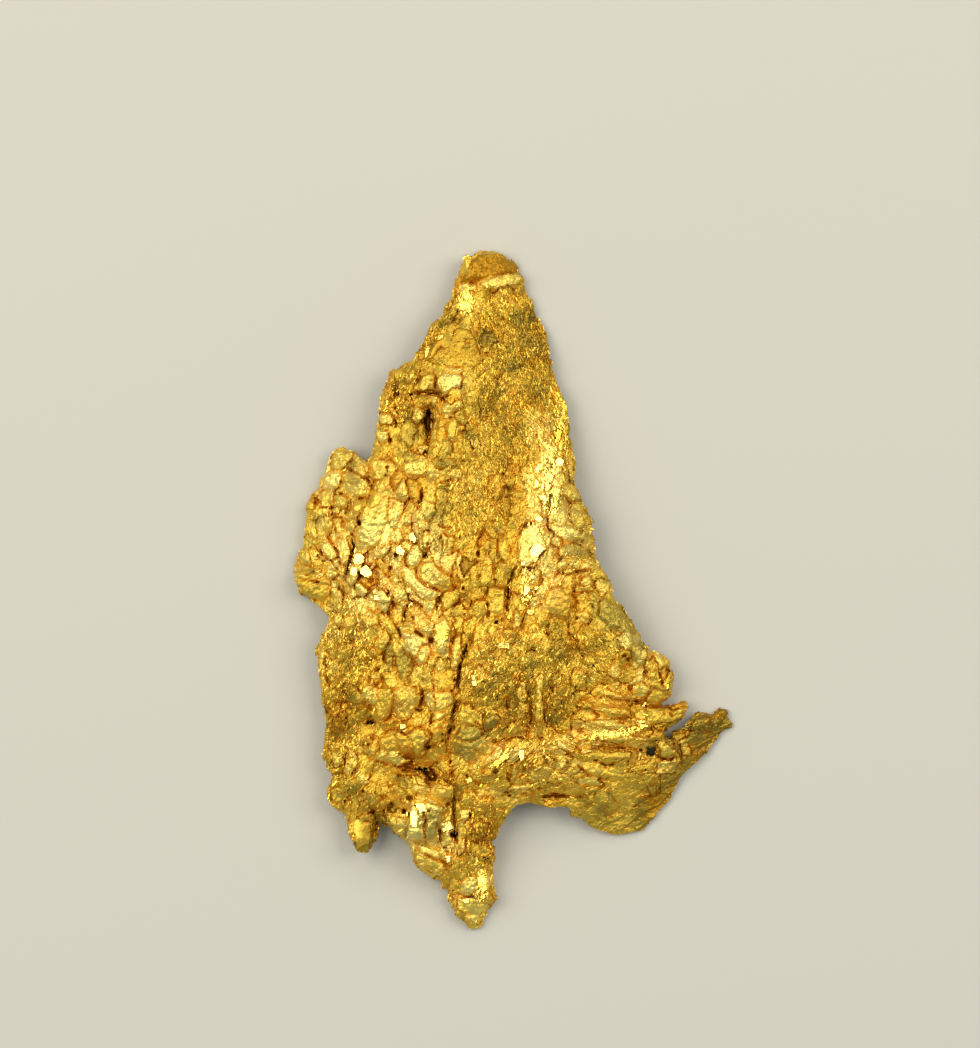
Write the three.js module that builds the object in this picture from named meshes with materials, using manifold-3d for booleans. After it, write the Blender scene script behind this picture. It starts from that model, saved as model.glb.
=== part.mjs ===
// Leaf gold crystal: one grown leaf of native gold, lying face up.
// Millimetres, +Z up. The leaf's long axis is Y, its tip at +Y and its spike at -Y.
// It is one solid: a thin faceted dome of leaf, the blocky crystals grown on its face, and the
// cracks and pits between them. The lowest patches of its back are flat at z = 0, where it rests.
import * as THREE from "three";
import * as BufferGeometryUtils from "three/addons/utils/BufferGeometryUtils.js";
import Module from "manifold-3d";

const wasm = await Module();
wasm.setup();

// ---------------------------------------------------------------- driving sizes
const LEAF_WIDTH = 22.0;
const LEAF_LENGTH = 34.0;
const FACE_CELL = 1.1; // spacing of the face's facets
const BACK_CELL = 1.3; // spacing of the back's facets
const BODY_THICKNESS = 1.35; // of the leaf at its middle
const WING_THICKNESS = 0.7; // of the curled sheet at the lower right
const RIM_WIDTH = 1.1; // the band in which the leaf thins to its edge
const RIM_SHARE = 0.3; // the edge's thickness as a share of the leaf's there
const LEAST_HEIGHT = 0.35; // of the face over the surface that the leaf lies on
const ABOVE = 8; // a height above everything
const BELOW = -3; // a depth below everything

// ---------------------------------------------------------------- outline
// Read clockwise from the tip. Each stretch ends at a notch or a corner.
const TIP = [
  [-1.55, 17], [-1.1, 17], [-0.5, 16.75], [-0.25, 16.5], [0, 16.5], [0.25, 16.2], [0.2, 16],
  [0.5, 15.5], [0.4, 15],
];
const RIGHT_EDGE = [
  [0.9, 14.45], [1.1, 13.6], [1.3, 13.5], [1.65, 12.75], [1.7, 11.65], [1.9, 11.45], [1.9, 11],
  [2.6, 9.15], [2.55, 8.8], [2.8, 8.15], [2.7, 7.6], [2.85, 7.35], [3.05, 6.1], [2.9, 5.6],
  [3.85, 3.4], [4.1, 1.4], [4.8, 0.4], [4.9, 0.15], [4.85, -0.15], [5, -0.5], [5.5, -1],
  [6.35, -2.5], [6.8, -3.05], [7.4, -3.3], [7.7, -3.55], [7.95, -4.35], [7.95, -4.85],
  [7.85, -5.25], [7.35, -5.7],
];
const FINGER = [
  [7.45, -5.85], [8.05, -5.8], [8.6, -5.6], [8.7, -5.7], [8.4, -6.4], [8.15, -6.7],
  [7.55, -7.05], [7.55, -7.25], [7.9, -7.55],
];
const WING = [
  [8, -7], [8.45, -7], [8.7, -6.9], [8.75, -6.65], [9.15, -6.15], [9.5, -6.15], [9.95, -6.3],
  [10.45, -6], [10.7, -6.05], [10.8, -6.55], [11, -6.7], [10.95, -6.95], [10.5, -7.05],
  [9.65, -8.2], [8.6, -9.15], [8.35, -9.45], [7.85, -10.45], [6.85, -11.6], [6.45, -12.1],
  [5.4, -12.25], [4.85, -12.25], [3.95, -11.9], [3.4, -11.45], [2.9, -11.35], [2.75, -10.85],
  [1.85, -10.85], [0.6, -10.55],
];
const SPIKE = [
  [0, -10.85], [-0.6, -11.5], [-0.6, -11.7], [-0.8, -11.8], [-0.8, -12.15], [-1.2, -12.65],
  [-1, -12.95], [-1.05, -13.9], [-1.1, -14.5], [-1.05, -15.05], [-0.8, -15.55], [-1.3, -16],
  [-1.65, -16.85], [-1.85, -17], [-2.1, -17], [-2.9, -16.25], [-3.3, -15.3], [-3.25, -15.05],
  [-3.4, -14.9], [-3.6, -14.95], [-3.7, -14.5], [-4, -14.5], [-4.65, -14.05], [-4.9, -13.7],
  [-5.2, -12.7], [-6, -12.1], [-6.2, -11.8], [-6.45, -11.8], [-6.6, -11.6],
];
const SMALL_SPIKE = [
  [-6.8, -12], [-6.75, -12.3], [-7.35, -13.1], [-7.85, -13], [-8.2, -12.3], [-8.45, -11.2],
  [-9.05, -10.9], [-9.35, -10.25], [-9.35, -9.9], [-9.1, -9.6], [-9.1, -9.2],
];
const LEFT_EDGE = [
  [-9.35, -8.85], [-9.5, -8.35], [-9.4, -6.45], [-9.65, -4.85], [-9.9, -2.95], [-9.35, -1.85],
  [-9.2, -1.3],
];
const SIDE_LOBE = [
  [-10, -0.55], [-10.7, -0.15], [-11, 0.95], [-10.8, 1.9], [-10.55, 2.15], [-10.35, 3.8],
  [-10.5, 4.05], [-10.45, 4.3], [-10, 4.85], [-9.7, 5], [-9.65, 5.5], [-9.5, 5.7],
  [-9.15, 6.85], [-8.65, 7.15], [-7.85, 6.8], [-7.35, 6.35],
];
const UPPER_LEFT_EDGE = [
  [-7.05, 6.9], [-6.8, 8.5], [-6.55, 10.05], [-6.25, 10.65], [-6.25, 10.85], [-5.1, 11.45],
  [-4.55, 12.3], [-4.05, 13.25], [-3.55, 13.7], [-3.45, 14.15], [-3.1, 14.5], [-3.1, 14.85],
  [-2.7, 15.85], [-2.6, 16.4], [-2.45, 16.6], [-2.15, 16.6], [-1.8, 16.9],
];
const OUTLINE = [
  TIP, RIGHT_EDGE, FINGER, WING, SPIKE, SMALL_SPIKE, LEFT_EDGE, SIDE_LOBE, UPPER_LEFT_EDGE,
].flat();
// the one hole that goes right through, where the fan of ridges meets the wing; anticlockwise
const HOLE = [[6.6, -7.85], [6.6, -8.2], [6.7, -8.3], [7, -8.35], [7.15, -8], [7.1, -7.85]];

// ---------------------------------------------------------------- small helpers
const clamp = (v, low, high) => Math.min(high, Math.max(low, v));
const radians = (degrees) => (degrees * Math.PI) / 180;

function smoothstep(value, from, to) {
  const t = clamp((value - from) / (to - from), 0, 1);
  return t * t * (3 - 2 * t);
}

// a number between 0 and 1 that depends only on two whole numbers and a seed
function hash(i, j, seed) {
  const n = Math.sin(i * 127.1 + j * 311.7 + seed * 74.7) * 43758.5453;
  return n - Math.floor(n);
}

// smooth noise between -1 and 1, with lumps as wide as size
function lumps(x, y, size, seed) {
  const u = x / size;
  const v = y / size;
  const i = Math.floor(u);
  const j = Math.floor(v);
  const a = smoothstep(u - i, 0, 1);
  const b = smoothstep(v - j, 0, 1);
  const lower = hash(i, j, seed) * (1 - a) + hash(i + 1, j, seed) * a;
  const upper = hash(i, j + 1, seed) * (1 - a) + hash(i + 1, j + 1, seed) * a;
  return 2 * (lower * (1 - b) + upper * b) - 1;
}

function distanceToEdge(x, y) {
  let nearest = Infinity;
  for (const ring of [OUTLINE, HOLE]) {
    ring.forEach(([x0, y0], k) => {
      const [x1, y1] = ring[(k + 1) % ring.length];
      const [dx, dy] = [x1 - x0, y1 - y0];
      const t = clamp(((x - x0) * dx + (y - y0) * dy) / (dx * dx + dy * dy), 0, 1);
      nearest = Math.min(nearest, Math.hypot(x - x0 - t * dx, y - y0 - t * dy));
    });
  }
  return nearest;
}

// ---------------------------------------------------------------- the leaf's form
// Broad flats that the face bends between: a point on each, and how far it falls per mm
// towards a heading (degrees from +X).
const FLATS = [
  { at: [-1, 2], height: 3.75, fall: 0.02, heading: 180 }, // middle
  { at: [1.8, 5], height: 3.75, fall: 0.48, heading: 14 }, // right flank
  { at: [3.2, -0.5], height: 3.3, fall: 0.4, heading: 31 }, // lower right flank
  { at: [-4.4, 3], height: 3.65, fall: 0.3, heading: 176 }, // left plate
  { at: [-5, -5], height: 3.0, fall: 0.24, heading: 192 }, // lower left
  { at: [-2.2, 11.5], height: 3.15, fall: 0.34, heading: 149 }, // upper left
  { at: [-1, 10.5], height: 3.4, fall: 0.3, heading: 92 }, // towards the tip
  { at: [-2, -9], height: 2.9, fall: 0.24, heading: 270 }, // towards the spike
  { at: [4, -5], height: 3.0, fall: 0.27, heading: -5 }, // right lobe
  { at: [5.4, -8.6], height: 2.3, fall: 0.55, heading: -55 }, // wing's root
  { at: [7.6, -6.4], height: 1.8, fall: 0.31, heading: -10 }, // wing's upper end
];
const BEND = 0.16; // how softly one flat turns into the next
const SETTLE = 0.35; // how far the whole leaf is lowered, so that its low places rest flat

// shallow hollows and low swells of the face: where, half sizes, turn, and depth (+ is down)
const HOLLOWS = [
  { at: [-0.9, 5.5], half: [1.5, 4.5], turn: 4, depth: 0.32 }, // between plate and ridge
  { at: [-5.9, -8.8], half: [1.0, 0.6], turn: 10, depth: 0.75 },
  { at: [-4.3, -9.0], half: [0.8, 0.6], turn: -20, depth: 0.75 },
  { at: [-6.2, -11.0], half: [0.8, 0.5], turn: 20, depth: 0.5 },
  { at: [-7.2, -6.9], half: [0.7, 0.5], turn: 0, depth: 0.35 },
  { at: [-4.3, 8.3], half: [0.5, 0.9], turn: 0, depth: 0.3 },
  { at: [-9.0, -4.2], half: [0.35, 1.6], turn: 4, depth: 0.3 },
  { at: [0.2, -10.3], half: [1.2, 0.4], turn: 14, depth: 0.35 },
  { at: [-2.7, -5], half: [0.45, 4.5], turn: 6, depth: 0.3 },
  { at: [1.9, 7], half: [0.5, 2.6], turn: 6, depth: -0.2 }, // bright ridge
  { at: [-4.6, -7.4], half: [0.9, 0.8], turn: 0, depth: -0.3 },
  { at: [-4.3, -11.6], half: [1.1, 1.1], turn: 0, depth: -0.25 },
  { at: [5.5, -11.2], half: [1.6, 0.6], turn: 0, depth: 0.12 },
];

// the side lobe at the left is a separate growth that lies lower than the body
const LOBE_DROP = 0.55;
function sideLobe(x, y) {
  return smoothstep(-x, 7.7, 8.4) * smoothstep(y, -1.4, -0.2) * smoothstep(-y, -7.4, -6.4);
}

function dome(x, y) {
  let sum = 0;
  for (const { at, height, fall, heading } of FLATS) {
    const along = (x - at[0]) * Math.cos(radians(heading)) + (y - at[1]) * Math.sin(radians(heading));
    sum += Math.exp(-(height - fall * along) / BEND);
  }
  return -BEND * Math.log(sum) - LOBE_DROP * sideLobe(x, y) - SETTLE;
}

function hollows(x, y) {
  let total = 0;
  for (const { at, half, turn, depth } of HOLLOWS) {
    const [c, s] = [Math.cos(radians(turn)), Math.sin(radians(turn))];
    const u = ((x - at[0]) * c + (y - at[1]) * s) / half[0];
    const v = ((y - at[1]) * c - (x - at[0]) * s) / half[1];
    total += depth * Math.exp(-(u * u + v * v));
  }
  return total;
}

function wingShare(x, y) {
  return smoothstep(x * 0.57 - y * 0.82, 10.3, 12.6) * smoothstep(x, 1, 3);
}

function thickness(x, y) {
  return BODY_THICKNESS + (WING_THICKNESS - BODY_THICKNESS) * wingShare(x, y);
}

// the leaf thins to its rim from both sides, more from the face than from the back
function rimLoss(x, y) {
  const inward = smoothstep(distanceToEdge(x, y), 0, RIM_WIDTH);
  return (1 - inward) * (1 - RIM_SHARE) * thickness(x, y);
}

function faceHeight(x, y) {
  const rough = 1 - 0.6 * wingShare(x, y);
  const bumps = 0.14 * lumps(x, y, 1.5, 1) + 0.1 * lumps(x + 3, y, 0.75, 2);
  const height = dome(x, y) - hollows(x, y) - 0.6 * rimLoss(x, y) + rough * bumps;
  return Math.max(LEAST_HEIGHT, height);
}

function backHeight(x, y) {
  const rough = 1 - 0.5 * wingShare(x, y);
  const bumps = 0.3 * lumps(x, y, 2.4, 7) + 0.16 * lumps(x, y, 1.2, 8);
  const buckle = 0.8 * hollows(x, y); // the leaf is thin, so a hollow shows on both sides
  const height = dome(x, y) - buckle - thickness(x, y) + 0.4 * rimLoss(x, y) + rough * bumps;
  return Math.max(0, height);
}

// ---------------------------------------------------------------- solids
function solidOf(geometry) {
  const bare = new THREE.BufferGeometry();
  bare.setAttribute("position", geometry.getAttribute("position"));
  bare.setIndex(geometry.getIndex());
  const merged = BufferGeometryUtils.mergeVertices(bare, 1e-5);
  return new wasm.Manifold(new wasm.Mesh({
    numProp: 3,
    vertProperties: new Float32Array(merged.getAttribute("position").array),
    triVerts: new Uint32Array(merged.getIndex().array),
  }));
}

// a slab with one wavy side: the height function is its top, or its underside when under is true
function wavySlab(cell, height, under, seed) {
  const [width, length] = [LEAF_WIDTH + 2, LEAF_LENGTH + 2];
  const [columns, rows] = [Math.round(width / cell), Math.round(length / cell)];
  const geometry = new THREE.BoxGeometry(width, length, 1, columns, rows, 1);
  const position = geometry.getAttribute("position");
  for (let k = 0; k < position.count; k++) {
    let [x, y] = [position.getX(k), position.getY(k)];
    const wavy = under ? position.getZ(k) < 0 : position.getZ(k) > 0;
    if (Math.abs(x) < width / 2 - 0.1 && Math.abs(y) < length / 2 - 0.1) {
      const [i, j] = [Math.round(x / cell), Math.round(y / cell)];
      x += 0.55 * cell * (hash(i, j, seed) - 0.5);
      y += 0.55 * cell * (hash(i, j, seed + 1) - 0.5);
    }
    const flat = under ? ABOVE : BELOW;
    position.setXYZ(k, x, y, wavy ? height(x, y) : flat);
  }
  return solidOf(geometry);
}

function plate(points, holes, from, to) {
  const shape = new THREE.Shape(points.map(([x, y]) => new THREE.Vector2(x, y)));
  shape.holes = holes.map((ring) => new THREE.Path(ring.map(([x, y]) => new THREE.Vector2(x, y))));
  const geometry = new THREE.ExtrudeGeometry(shape, { depth: to - from, bevelEnabled: false });
  return solidOf(geometry.translate(0, 0, from));
}

// ---------------------------------------------------------------- crystals on the face
// Each is [x, y, length, width, turn, rise]: a blocky crystal with an uneven top of 4 to 6 sides.
const CRYSTALS = [
  // tip: satin cap and the rolled lip under it
  [-1.3, 16.2, 2.3, 1.3, 5, 0.14], [-0.5, 15.45, 2.0, 0.5, 12, 0.34],
  [-2.35, 15.2, 1.4, 0.5, 75, 0.2], 
  // upper left flat and its sparkling edge
  [-3.1, 12, 2.3, 1.9, 60, 0.2], [-3.9, 12.9, 1.7, 0.5, 57, 0.26],
  [-3, 14.1, 0.8, 0.5, 60, 0.26], 
  
  
  
  // blocks down the upper left edge
  [-4.4, 10.4, 1.0, 0.5, 62, 0.36], [-3.2, 10.35, 1.3, 1.0, 80, 0.3],
  [-5.5, 10.6, 1.0, 0.8, 20, 0.24], [-4.3, 9.5, 0.9, 0.45, -10, 0.3],
  [-3.2, 9.2, 1.3, 0.6, 20, 0.22], [-4.85, 8.7, 0.6, 0.55, 0, 0.34],
  [-5.4, 9.3, 0.7, 0.5, 80, 0.24], [-6.4, 8.5, 0.9, 0.6, 85, 0.28],
  [-6.5, 7.5, 1.0, 0.7, 80, 0.24], 
  [-3.4, 7.9, 1.3, 0.9, 80, 0.26], [-3.5, 6.8, 1.0, 0.9, 70, 0.16],
  [-4.9, 6.2, 1.7, 0.9, 5, 0.2], [-5.6, 5.1, 0.85, 0.5, 100, 0.36],
  [-6.6, 6.3, 1.0, 0.8, 70, 0.2], 
  // side lobe
  [-8.6, 6.5, 1.1, 0.8, -10, 0.26], [-9.0, 5.5, 0.9, 0.75, 30, 0.24],
  [-7.9, 5.8, 0.9, 0.6, 42, 0.24], [-8.7, 4.5, 0.9, 0.75, 10, 0.22],
  [-9.8, 4.2, 0.8, 0.6, 40, 0.26], [-9.4, 3.3, 1.0, 0.8, 20, 0.22],
  [-9.1, 1.8, 1.4, 0.48, -54, 0.34],
  [-8.4, 2, 1.3, 0.48, -72, 0.34], [-10.2, 1.7, 0.9, 0.7, 20, 0.28],
  [-9.9, 0.3, 1.7, 1.0, -20, 0.2], [-8.2, 0.5, 0.65, 0.6, 0, 0.4],
  // bright plates at the left of the middle
  [-6.7, 3.4, 2.2, 2.0, 60, 0.2], [-7.8, 1.6, 0.6, 0.42, 10, 0.36],
  [-8, 1, 0.5, 0.4, 80, 0.3], [-7.35, 0.95, 0.6, 0.5, 0, 0.36],
  [-5.75, 2.05, 0.55, 0.42, 20, 0.34], [-5.05, 2.6, 0.5, 0.38, 80, 0.34],
  [-5.1, 1.6, 1.0, 0.7, 80, 0.34], [-6.5, 1.9, 0.8, 0.6, 30, 0.26],
  [-5, 0.4, 2.0, 0.6, -46, 0.32], [-3.9, 0.9, 1.3, 1.0, -15, 0.28],
  [-6.7, -0.2, 1.1, 0.75, -20, 0.3], [-4.6, 3.7, 1.6, 0.8, 70, 0.18],
  [-4.4, -1.7, 0.65, 0.6, 0, 0.36], [-5, -2.75, 1.9, 0.8, -54, 0.32],
  [-3.55, -2.3, 1.7, 0.6, 76, 0.34], [-2.7, -2.7, 1.7, 0.5, 76, 0.28],
  [-3.4, -0.9, 0.9, 0.65, 60, 0.26], [-2.6, 0.3, 0.9, 0.7, 80, 0.24],
  
  // middle and the sharp plate beside the long crack
  [-1.3, 0.8, 1.3, 0.8, 84, 0.22], [1, 2.2, 2.3, 1.15, 74, 0.34],
  [0.75, 0.2, 1.4, 0.55, 84, 0.3], [0.05, -1.3, 1.3, 0.7, 62, 0.28],
  [-1.8, -0.9, 1.0, 0.7, 70, 0.24], [2.2, -0.5, 1.3, 1.2, 80, 0.26],
  [3.6, -0.9, 0.9, 0.7, 60, 0.3], [3.4, 0.45, 0.8, 0.6, 10, 0.26],
  [3.6, 1.4, 0.7, 0.5, 0, 0.28], [2.4, 1.35, 1.1, 0.5, 5, 0.26],
  [4.9, -1.5, 2.4, 0.9, -50, 0.22], [5.6, -2.7, 0.9, 0.6, -48, 0.28],
  [3.0, 3.2, 1.4, 0.9, 80, 0.2], [2.7, 4.7, 1.2, 0.7, 75, 0.2],
  
  
  // right lobe and the fan of ridges
  [4.9, -4.1, 1.0, 0.85, 20, 0.36], [6.2, -3.2, 0.9, 0.6, -40, 0.28],
  [7.2, -3.6, 1.0, 0.6, -40, 0.3], [7.5, -4.6, 0.9, 0.6, 80, 0.3],
  [6.8, -4.1, 0.8, 0.55, 70, 0.26], [6.3, -4.8, 1.0, 0.55, -20, 0.26],
  [3.6, -2.4, 1.1, 0.8, 50, 0.24], [4.7, -5.1, 1.6, 0.5, -18, 0.24],
  [7.9, -6.2, 1.5, 0.6, 22, 0.24], [4.6, -5.9, 2.8, 0.42, -11, 0.26],
  [5, -6.7, 2.8, 0.42, -4, 0.26], [5, -7.4, 2.6, 0.42, -2, 0.28],
  [4.6, -8.2, 2.9, 0.42, -3, 0.26], [4.3, -9, 2.4, 0.4, -8, 0.2],
  [7.6, -7.9, 0.9, 0.75, 20, 0.36], [7.1, -7.25, 0.9, 0.5, 20, 0.24],
  [9.5, -6.7, 1.4, 0.7, 15, 0.16], 
  // lower middle: upright rod, dark flats, slanting striated blades
  [1.25, -5.3, 2.7, 0.48, 90, 0.36], 
  [2.2, -5.0, 1.7, 0.8, 88, 0.22], [3.3, -4.4, 1.2, 0.8, 70, 0.24],
  [-1.15, -6.4, 1.0, 0.8, 30, 0.2],
  [-2.1, -7.5, 1.3, 1.0, 40, 0.2], [-0.7, -8.5, 1.9, 0.4, 40, 0.3],
  [0.1, -8.1, 1.7, 0.36, 42, 0.32], 
  [1.2, -8.4, 1.2, 0.6, 80, 0.26], [2.2, -7.6, 1.1, 0.7, 30, 0.24],
  [2.4, -9.1, 1.2, 0.6, 70, 0.22], [-1.7, -4.4, 1.2, 0.8, 75, 0.26],
  [-0.4, -3.5, 1.1, 0.8, 60, 0.22], [0.9, -3.3, 1.0, 0.8, 30, 0.22],
  [2.2, -2.9, 1.0, 0.8, 50, 0.24], [-1.4, -2.8, 1.0, 0.7, 70, 0.24],
  
  // lower left: draped plates, ring, cup and rolled rim
  [-8.4, -1.6, 1.1, 0.9, 30, 0.22], [-7.2, -1.4, 1.0, 0.8, -20, 0.22],
  [-6.9, -4.3, 0.5, 0.5, 0, 0.26],
  [-6.1, -3.8, 1.7, 0.5, 84, 0.18], [-7.6, -5.2, 1.2, 0.8, 10, 0.24],
  [-6.3, -5.3, 1.2, 1.0, 60, 0.28], [-5.2, -5.3, 1.1, 0.9, 85, 0.26],
  [-6.6, -6.2, 0.9, 0.6, 40, 0.22], [-3.8, -5.3, 1.4, 0.9, 84, 0.26],
  [-4.9, -7.5, 1.4, 1.1, -20, 0.34], [-8.7, -6.6, 1.0, 0.9, 80, 0.22],
  [-8.8, -8.5, 1.1, 0.8, 80, 0.24], [-8.1, -9.7, 1.2, 0.8, 20, 0.24],
  [-7.4, -8.7, 1.0, 0.8, 60, 0.22], [-6.7, -7.7, 1.0, 0.7, 10, 0.24],
  [-7.1, -10.4, 1.1, 0.7, 80, 0.24], [-5.2, -9.4, 1.1, 0.5, -60, 0.36],
  [-4.8, -9.95, 0.9, 0.42, 0, 0.3], [-3.5, -9.9, 1.1, 0.85, 20, 0.34],
  [-8.95, -10.1, 0.8, 0.6, 60, 0.22], [-9.6, -4.7, 3.6, 0.42, 87, 0.3],
  [-4.2, -4.0, 1.0, 0.7, 70, 0.22],
  // spikes
  [-4.35, -11.5, 2.0, 1.7, 82, 0.42], [-3.3, -11.75, 0.6, 0.42, 10, 0.4],
  [-5.8, -11.4, 1.1, 0.7, -25, 0.26], [-4.1, -13.5, 1.9, 1.1, -26, 0.28],
  [-1.7, -11.9, 1.0, 0.8, 80, 0.3], [-1.65, -13, 1.0, 0.8, 10, 0.26],
  [-1.7, -14.5, 1.4, 0.9, 84, 0.2], 
  [-1.5, -15.45, 1.0, 0.4, -6, 0.26], [-2.3, -16.1, 1.1, 0.9, 70, 0.22],
  [-7.6, -12.1, 1.9, 0.9, 80, 0.24], [-1.5, -10.8, 1.1, 0.8, 40, 0.22],
  
];
const CRYSTAL_ROOT = 0.7; // how deep its sides run into the leaf
const CRYSTAL_RADIUS = 0.62; // to a corner of the top, as a share of its length and width
const CRYSTAL_TAPER = 1.15; // root width over top width
const CRYSTAL_LEAN = 0.3; // how far a top may lean out of the face, as a slope

// how fast the face rises along X and along Y
function faceSlope(x, y) {
  const step = 0.5;
  return [
    (dome(x + step, y) - dome(x - step, y)) / (2 * step),
    (dome(x, y + step) - dome(x, y - step)) / (2 * step),
  ];
}

function crystal([x, y, length, width, turn, rise], number) {
  const sides = 4 + (number % 3);
  const geometry = new THREE.CylinderGeometry(
    CRYSTAL_RADIUS, CRYSTAL_RADIUS * CRYSTAL_TAPER, rise + CRYSTAL_ROOT, sides, 1,
  ).rotateX(Math.PI / 2).rotateZ(Math.PI / sides);
  const position = geometry.getAttribute("position");
  for (let k = 0; k < position.count; k++) {
    const [u, v] = [position.getX(k), position.getY(k)];
    const corner = Math.round((Math.atan2(v, u) / Math.PI + 1) * sides) % (2 * sides);
    const uneven = 1.08 + 0.36 * (hash(number, corner, 4) - 0.5);
    position.setXY(k, u * length * uneven, v * width * uneven);
  }
  geometry.rotateZ(radians(turn));
  const slope = faceSlope(x, y).map((rise, k) => rise + CRYSTAL_LEAN * (hash(number, k, 3) - 0.5));
  for (let k = 0; k < position.count; k++) {
    position.setZ(k, position.getZ(k) + slope[0] * position.getX(k) + slope[1] * position.getY(k));
  }
  return solidOf(geometry.translate(x, y, faceHeight(x, y) + (rise - CRYSTAL_ROOT) / 2));
}

// ---------------------------------------------------------------- cracks and pits
// Each crack follows its path, widest near the middle and pointed at both ends.
const CRACKS = [
  { width: 0.3, depth: 0.75, path: [[-2, -1.8], [-2.5, -3.2], [-2.8, -4.4], [-2.75, -5.1]] },
  { width: 0.26, depth: 0.7, path: [[-2.75, -5], [-3.05, -6.2], [-3.4, -8], [-3, -9.3]] },
  { width: 0.28, depth: 0.7, path: [[-2.9, -9.8], [-3.05, -10.5], [-2.95, -12.1], [-2.95, -12.7]] },
  { width: 0.22, depth: 0.7, path: [[0.1, 1.1], [-0.2, 0.6], [-0.3, 0], [-0.35, -1]] },
  { width: 0.18, depth: 0.5, path: [[0.8, -0.4], [0.4, -1.6], [0.3, -2]] },
  { width: 0.2, depth: 0.55, path: [[0.2, 2.7], [0.4, 3.1], [0.8, 3.4], [1.2, 3.2]] },
  { width: 0.24, depth: 0.6, path: [[-8.2, 2.9], [-8.0, 2.2], [-8.25, 1.2], [-8.5, 0.4]] },
  { width: 0.2, depth: 0.5, path: [[-7.3, 6.3], [-7.2, 5.2], [-7.4, 4.6], [-7.9, 4.5]] },
  { width: 0.2, depth: 0.5, path: [[-8.2, 4.6], [-8.35, 4], [-8.5, 3.3]] },
  { width: 0.2, depth: 0.6, path: [[-5.7, -2.2], [-5.5, -1.4], [-5.4, -0.9], [-5, -0.55], [-4.6, -0.7]] },
  { width: 0.5, depth: 0.5, path: [[-4.3, 9.2], [-4.3, 8.5], [-4.35, 7.3]] },
  { width: 0.22, depth: 0.5, path: [[-5.2, 9.7], [-4.6, 9.85], [-3.9, 9.85], [-3.3, 9.6]] },
  { width: 0.3, depth: 0.5, path: [[-5.9, 10.4], [-5.9, 9.7]] },
  { width: 0.26, depth: 0.5, path: [[-5.9, 8.9], [-5.9, 8.2]] },
  { width: 0.2, depth: 0.5, path: [[-4.6, 5.1], [-4.65, 4.5], [-4.85, 4.0]] },
  { width: 0.34, depth: 0.6, path: [[-7.6, -6.6], [-7.2, -6.6], [-6.8, -6.65]] },
  { width: 0.2, depth: 0.5, path: [[-4.6, -4.8], [-4.6, -5.6], [-4.85, -6]] },
  { width: 0.3, depth: 0.5, path: [[-5.2, -9.0], [-4.7, -8.9], [-4.1, -9.0]] },
  { width: 0.2, depth: 0.5, path: [[0.95, -4.1], [0.85, -6.4], [0.6, -7.5]] },
  { width: 0.2, depth: 0.5, path: [[5.5, -5.45], [6.4, -5.6], [7.5, -5.75]] },
  { width: 0.22, depth: 0.5, path: [[3, -7.8], [4.8, -7.85], [6.7, -8.0]] },
  { width: 0.22, depth: 0.6, path: [[-3.75, -11.5], [-3.75, -12.9]] },
  { width: 0.14, depth: 0.5, path: [[-4.45, -11], [-4.45, -12.6]] },
  { width: 0.36, depth: 0.6, path: [[-6.5, -10.9], [-6, -11.0], [-5.4, -11.05]] },
  { width: 0.34, depth: 0.45, path: [[1.2, -10.4], [2.0, -10.3], [2.8, -10.28]] },
  { width: 0.18, depth: 0.4, path: [[6.9, -3.3], [6.6, -4.3], [7.4, -4.8]] },
];

function crack({ width, depth, path }) {
  const centre = new THREE.CatmullRomCurve3(path.map(([x, y]) => new THREE.Vector3(x, y, 0)));
  const steps = path.length + 1;
  const [left, right] = [[], []];
  for (let k = 1; k < steps; k++) {
    const point = centre.getPoint(k / steps);
    const heading = centre.getTangent(k / steps);
    const half = (width / 2) * Math.sin((Math.PI * k) / steps) ** 0.6;
    left.push([point.x - heading.y * half, point.y + heading.x * half]);
    right.unshift([point.x + heading.y * half, point.y - heading.x * half]);
  }
  const ring = [path[0], ...right.reverse(), path.at(-1), ...left.reverse()];
  const middle = centre.getPoint(0.5);
  return plate(ring, [], faceHeight(middle.x, middle.y) - depth, ABOVE);
}

// ---------------------------------------------------------------- the leaf
function goldLeaf() {
  let leaf = wavySlab(FACE_CELL, faceHeight, false, 11);
  leaf = CRYSTALS.map(crystal).reduce((whole, block) => whole.add(block), leaf);
  leaf = leaf.intersect(wavySlab(BACK_CELL, backHeight, true, 21));
  leaf = leaf.intersect(plate(OUTLINE, [HOLE], BELOW - 1, ABOVE + 1));
  leaf = CRACKS.map(crack).reduce((whole, gap) => whole.subtract(gap), leaf);
  const { vertProperties, triVerts } = leaf.getMesh();
  const geometry = new THREE.BufferGeometry();
  geometry.setAttribute("position", new THREE.BufferAttribute(new Float32Array(vertProperties), 3));
  geometry.setIndex(new THREE.BufferAttribute(new Uint32Array(triVerts), 1));
  return geometry;
}

const nativeGold = new THREE.MeshStandardMaterial({ color: 0xd9a437, roughness: 0.35, metalness: 1 });
const leaf = new THREE.Mesh(goldLeaf(), nativeGold);
leaf.name = "gold_leaf";

const group = new THREE.Group();
group.add(leaf);

export default group;
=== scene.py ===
"""Leaf gold crystal: one grown leaf of native gold, dressed over its CAD solid.

The leaf's own mesh is taken from the frame, made fine, and grown over with the relief that such
gold has: packed crystal blocks, cracks, pits, hackly scales and thin laminations.
"""

import math

import bpy
import numpy as np
from bpy.props import FloatProperty, FloatVectorProperty, PointerProperty
from mathutils import Matrix, Vector


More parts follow.
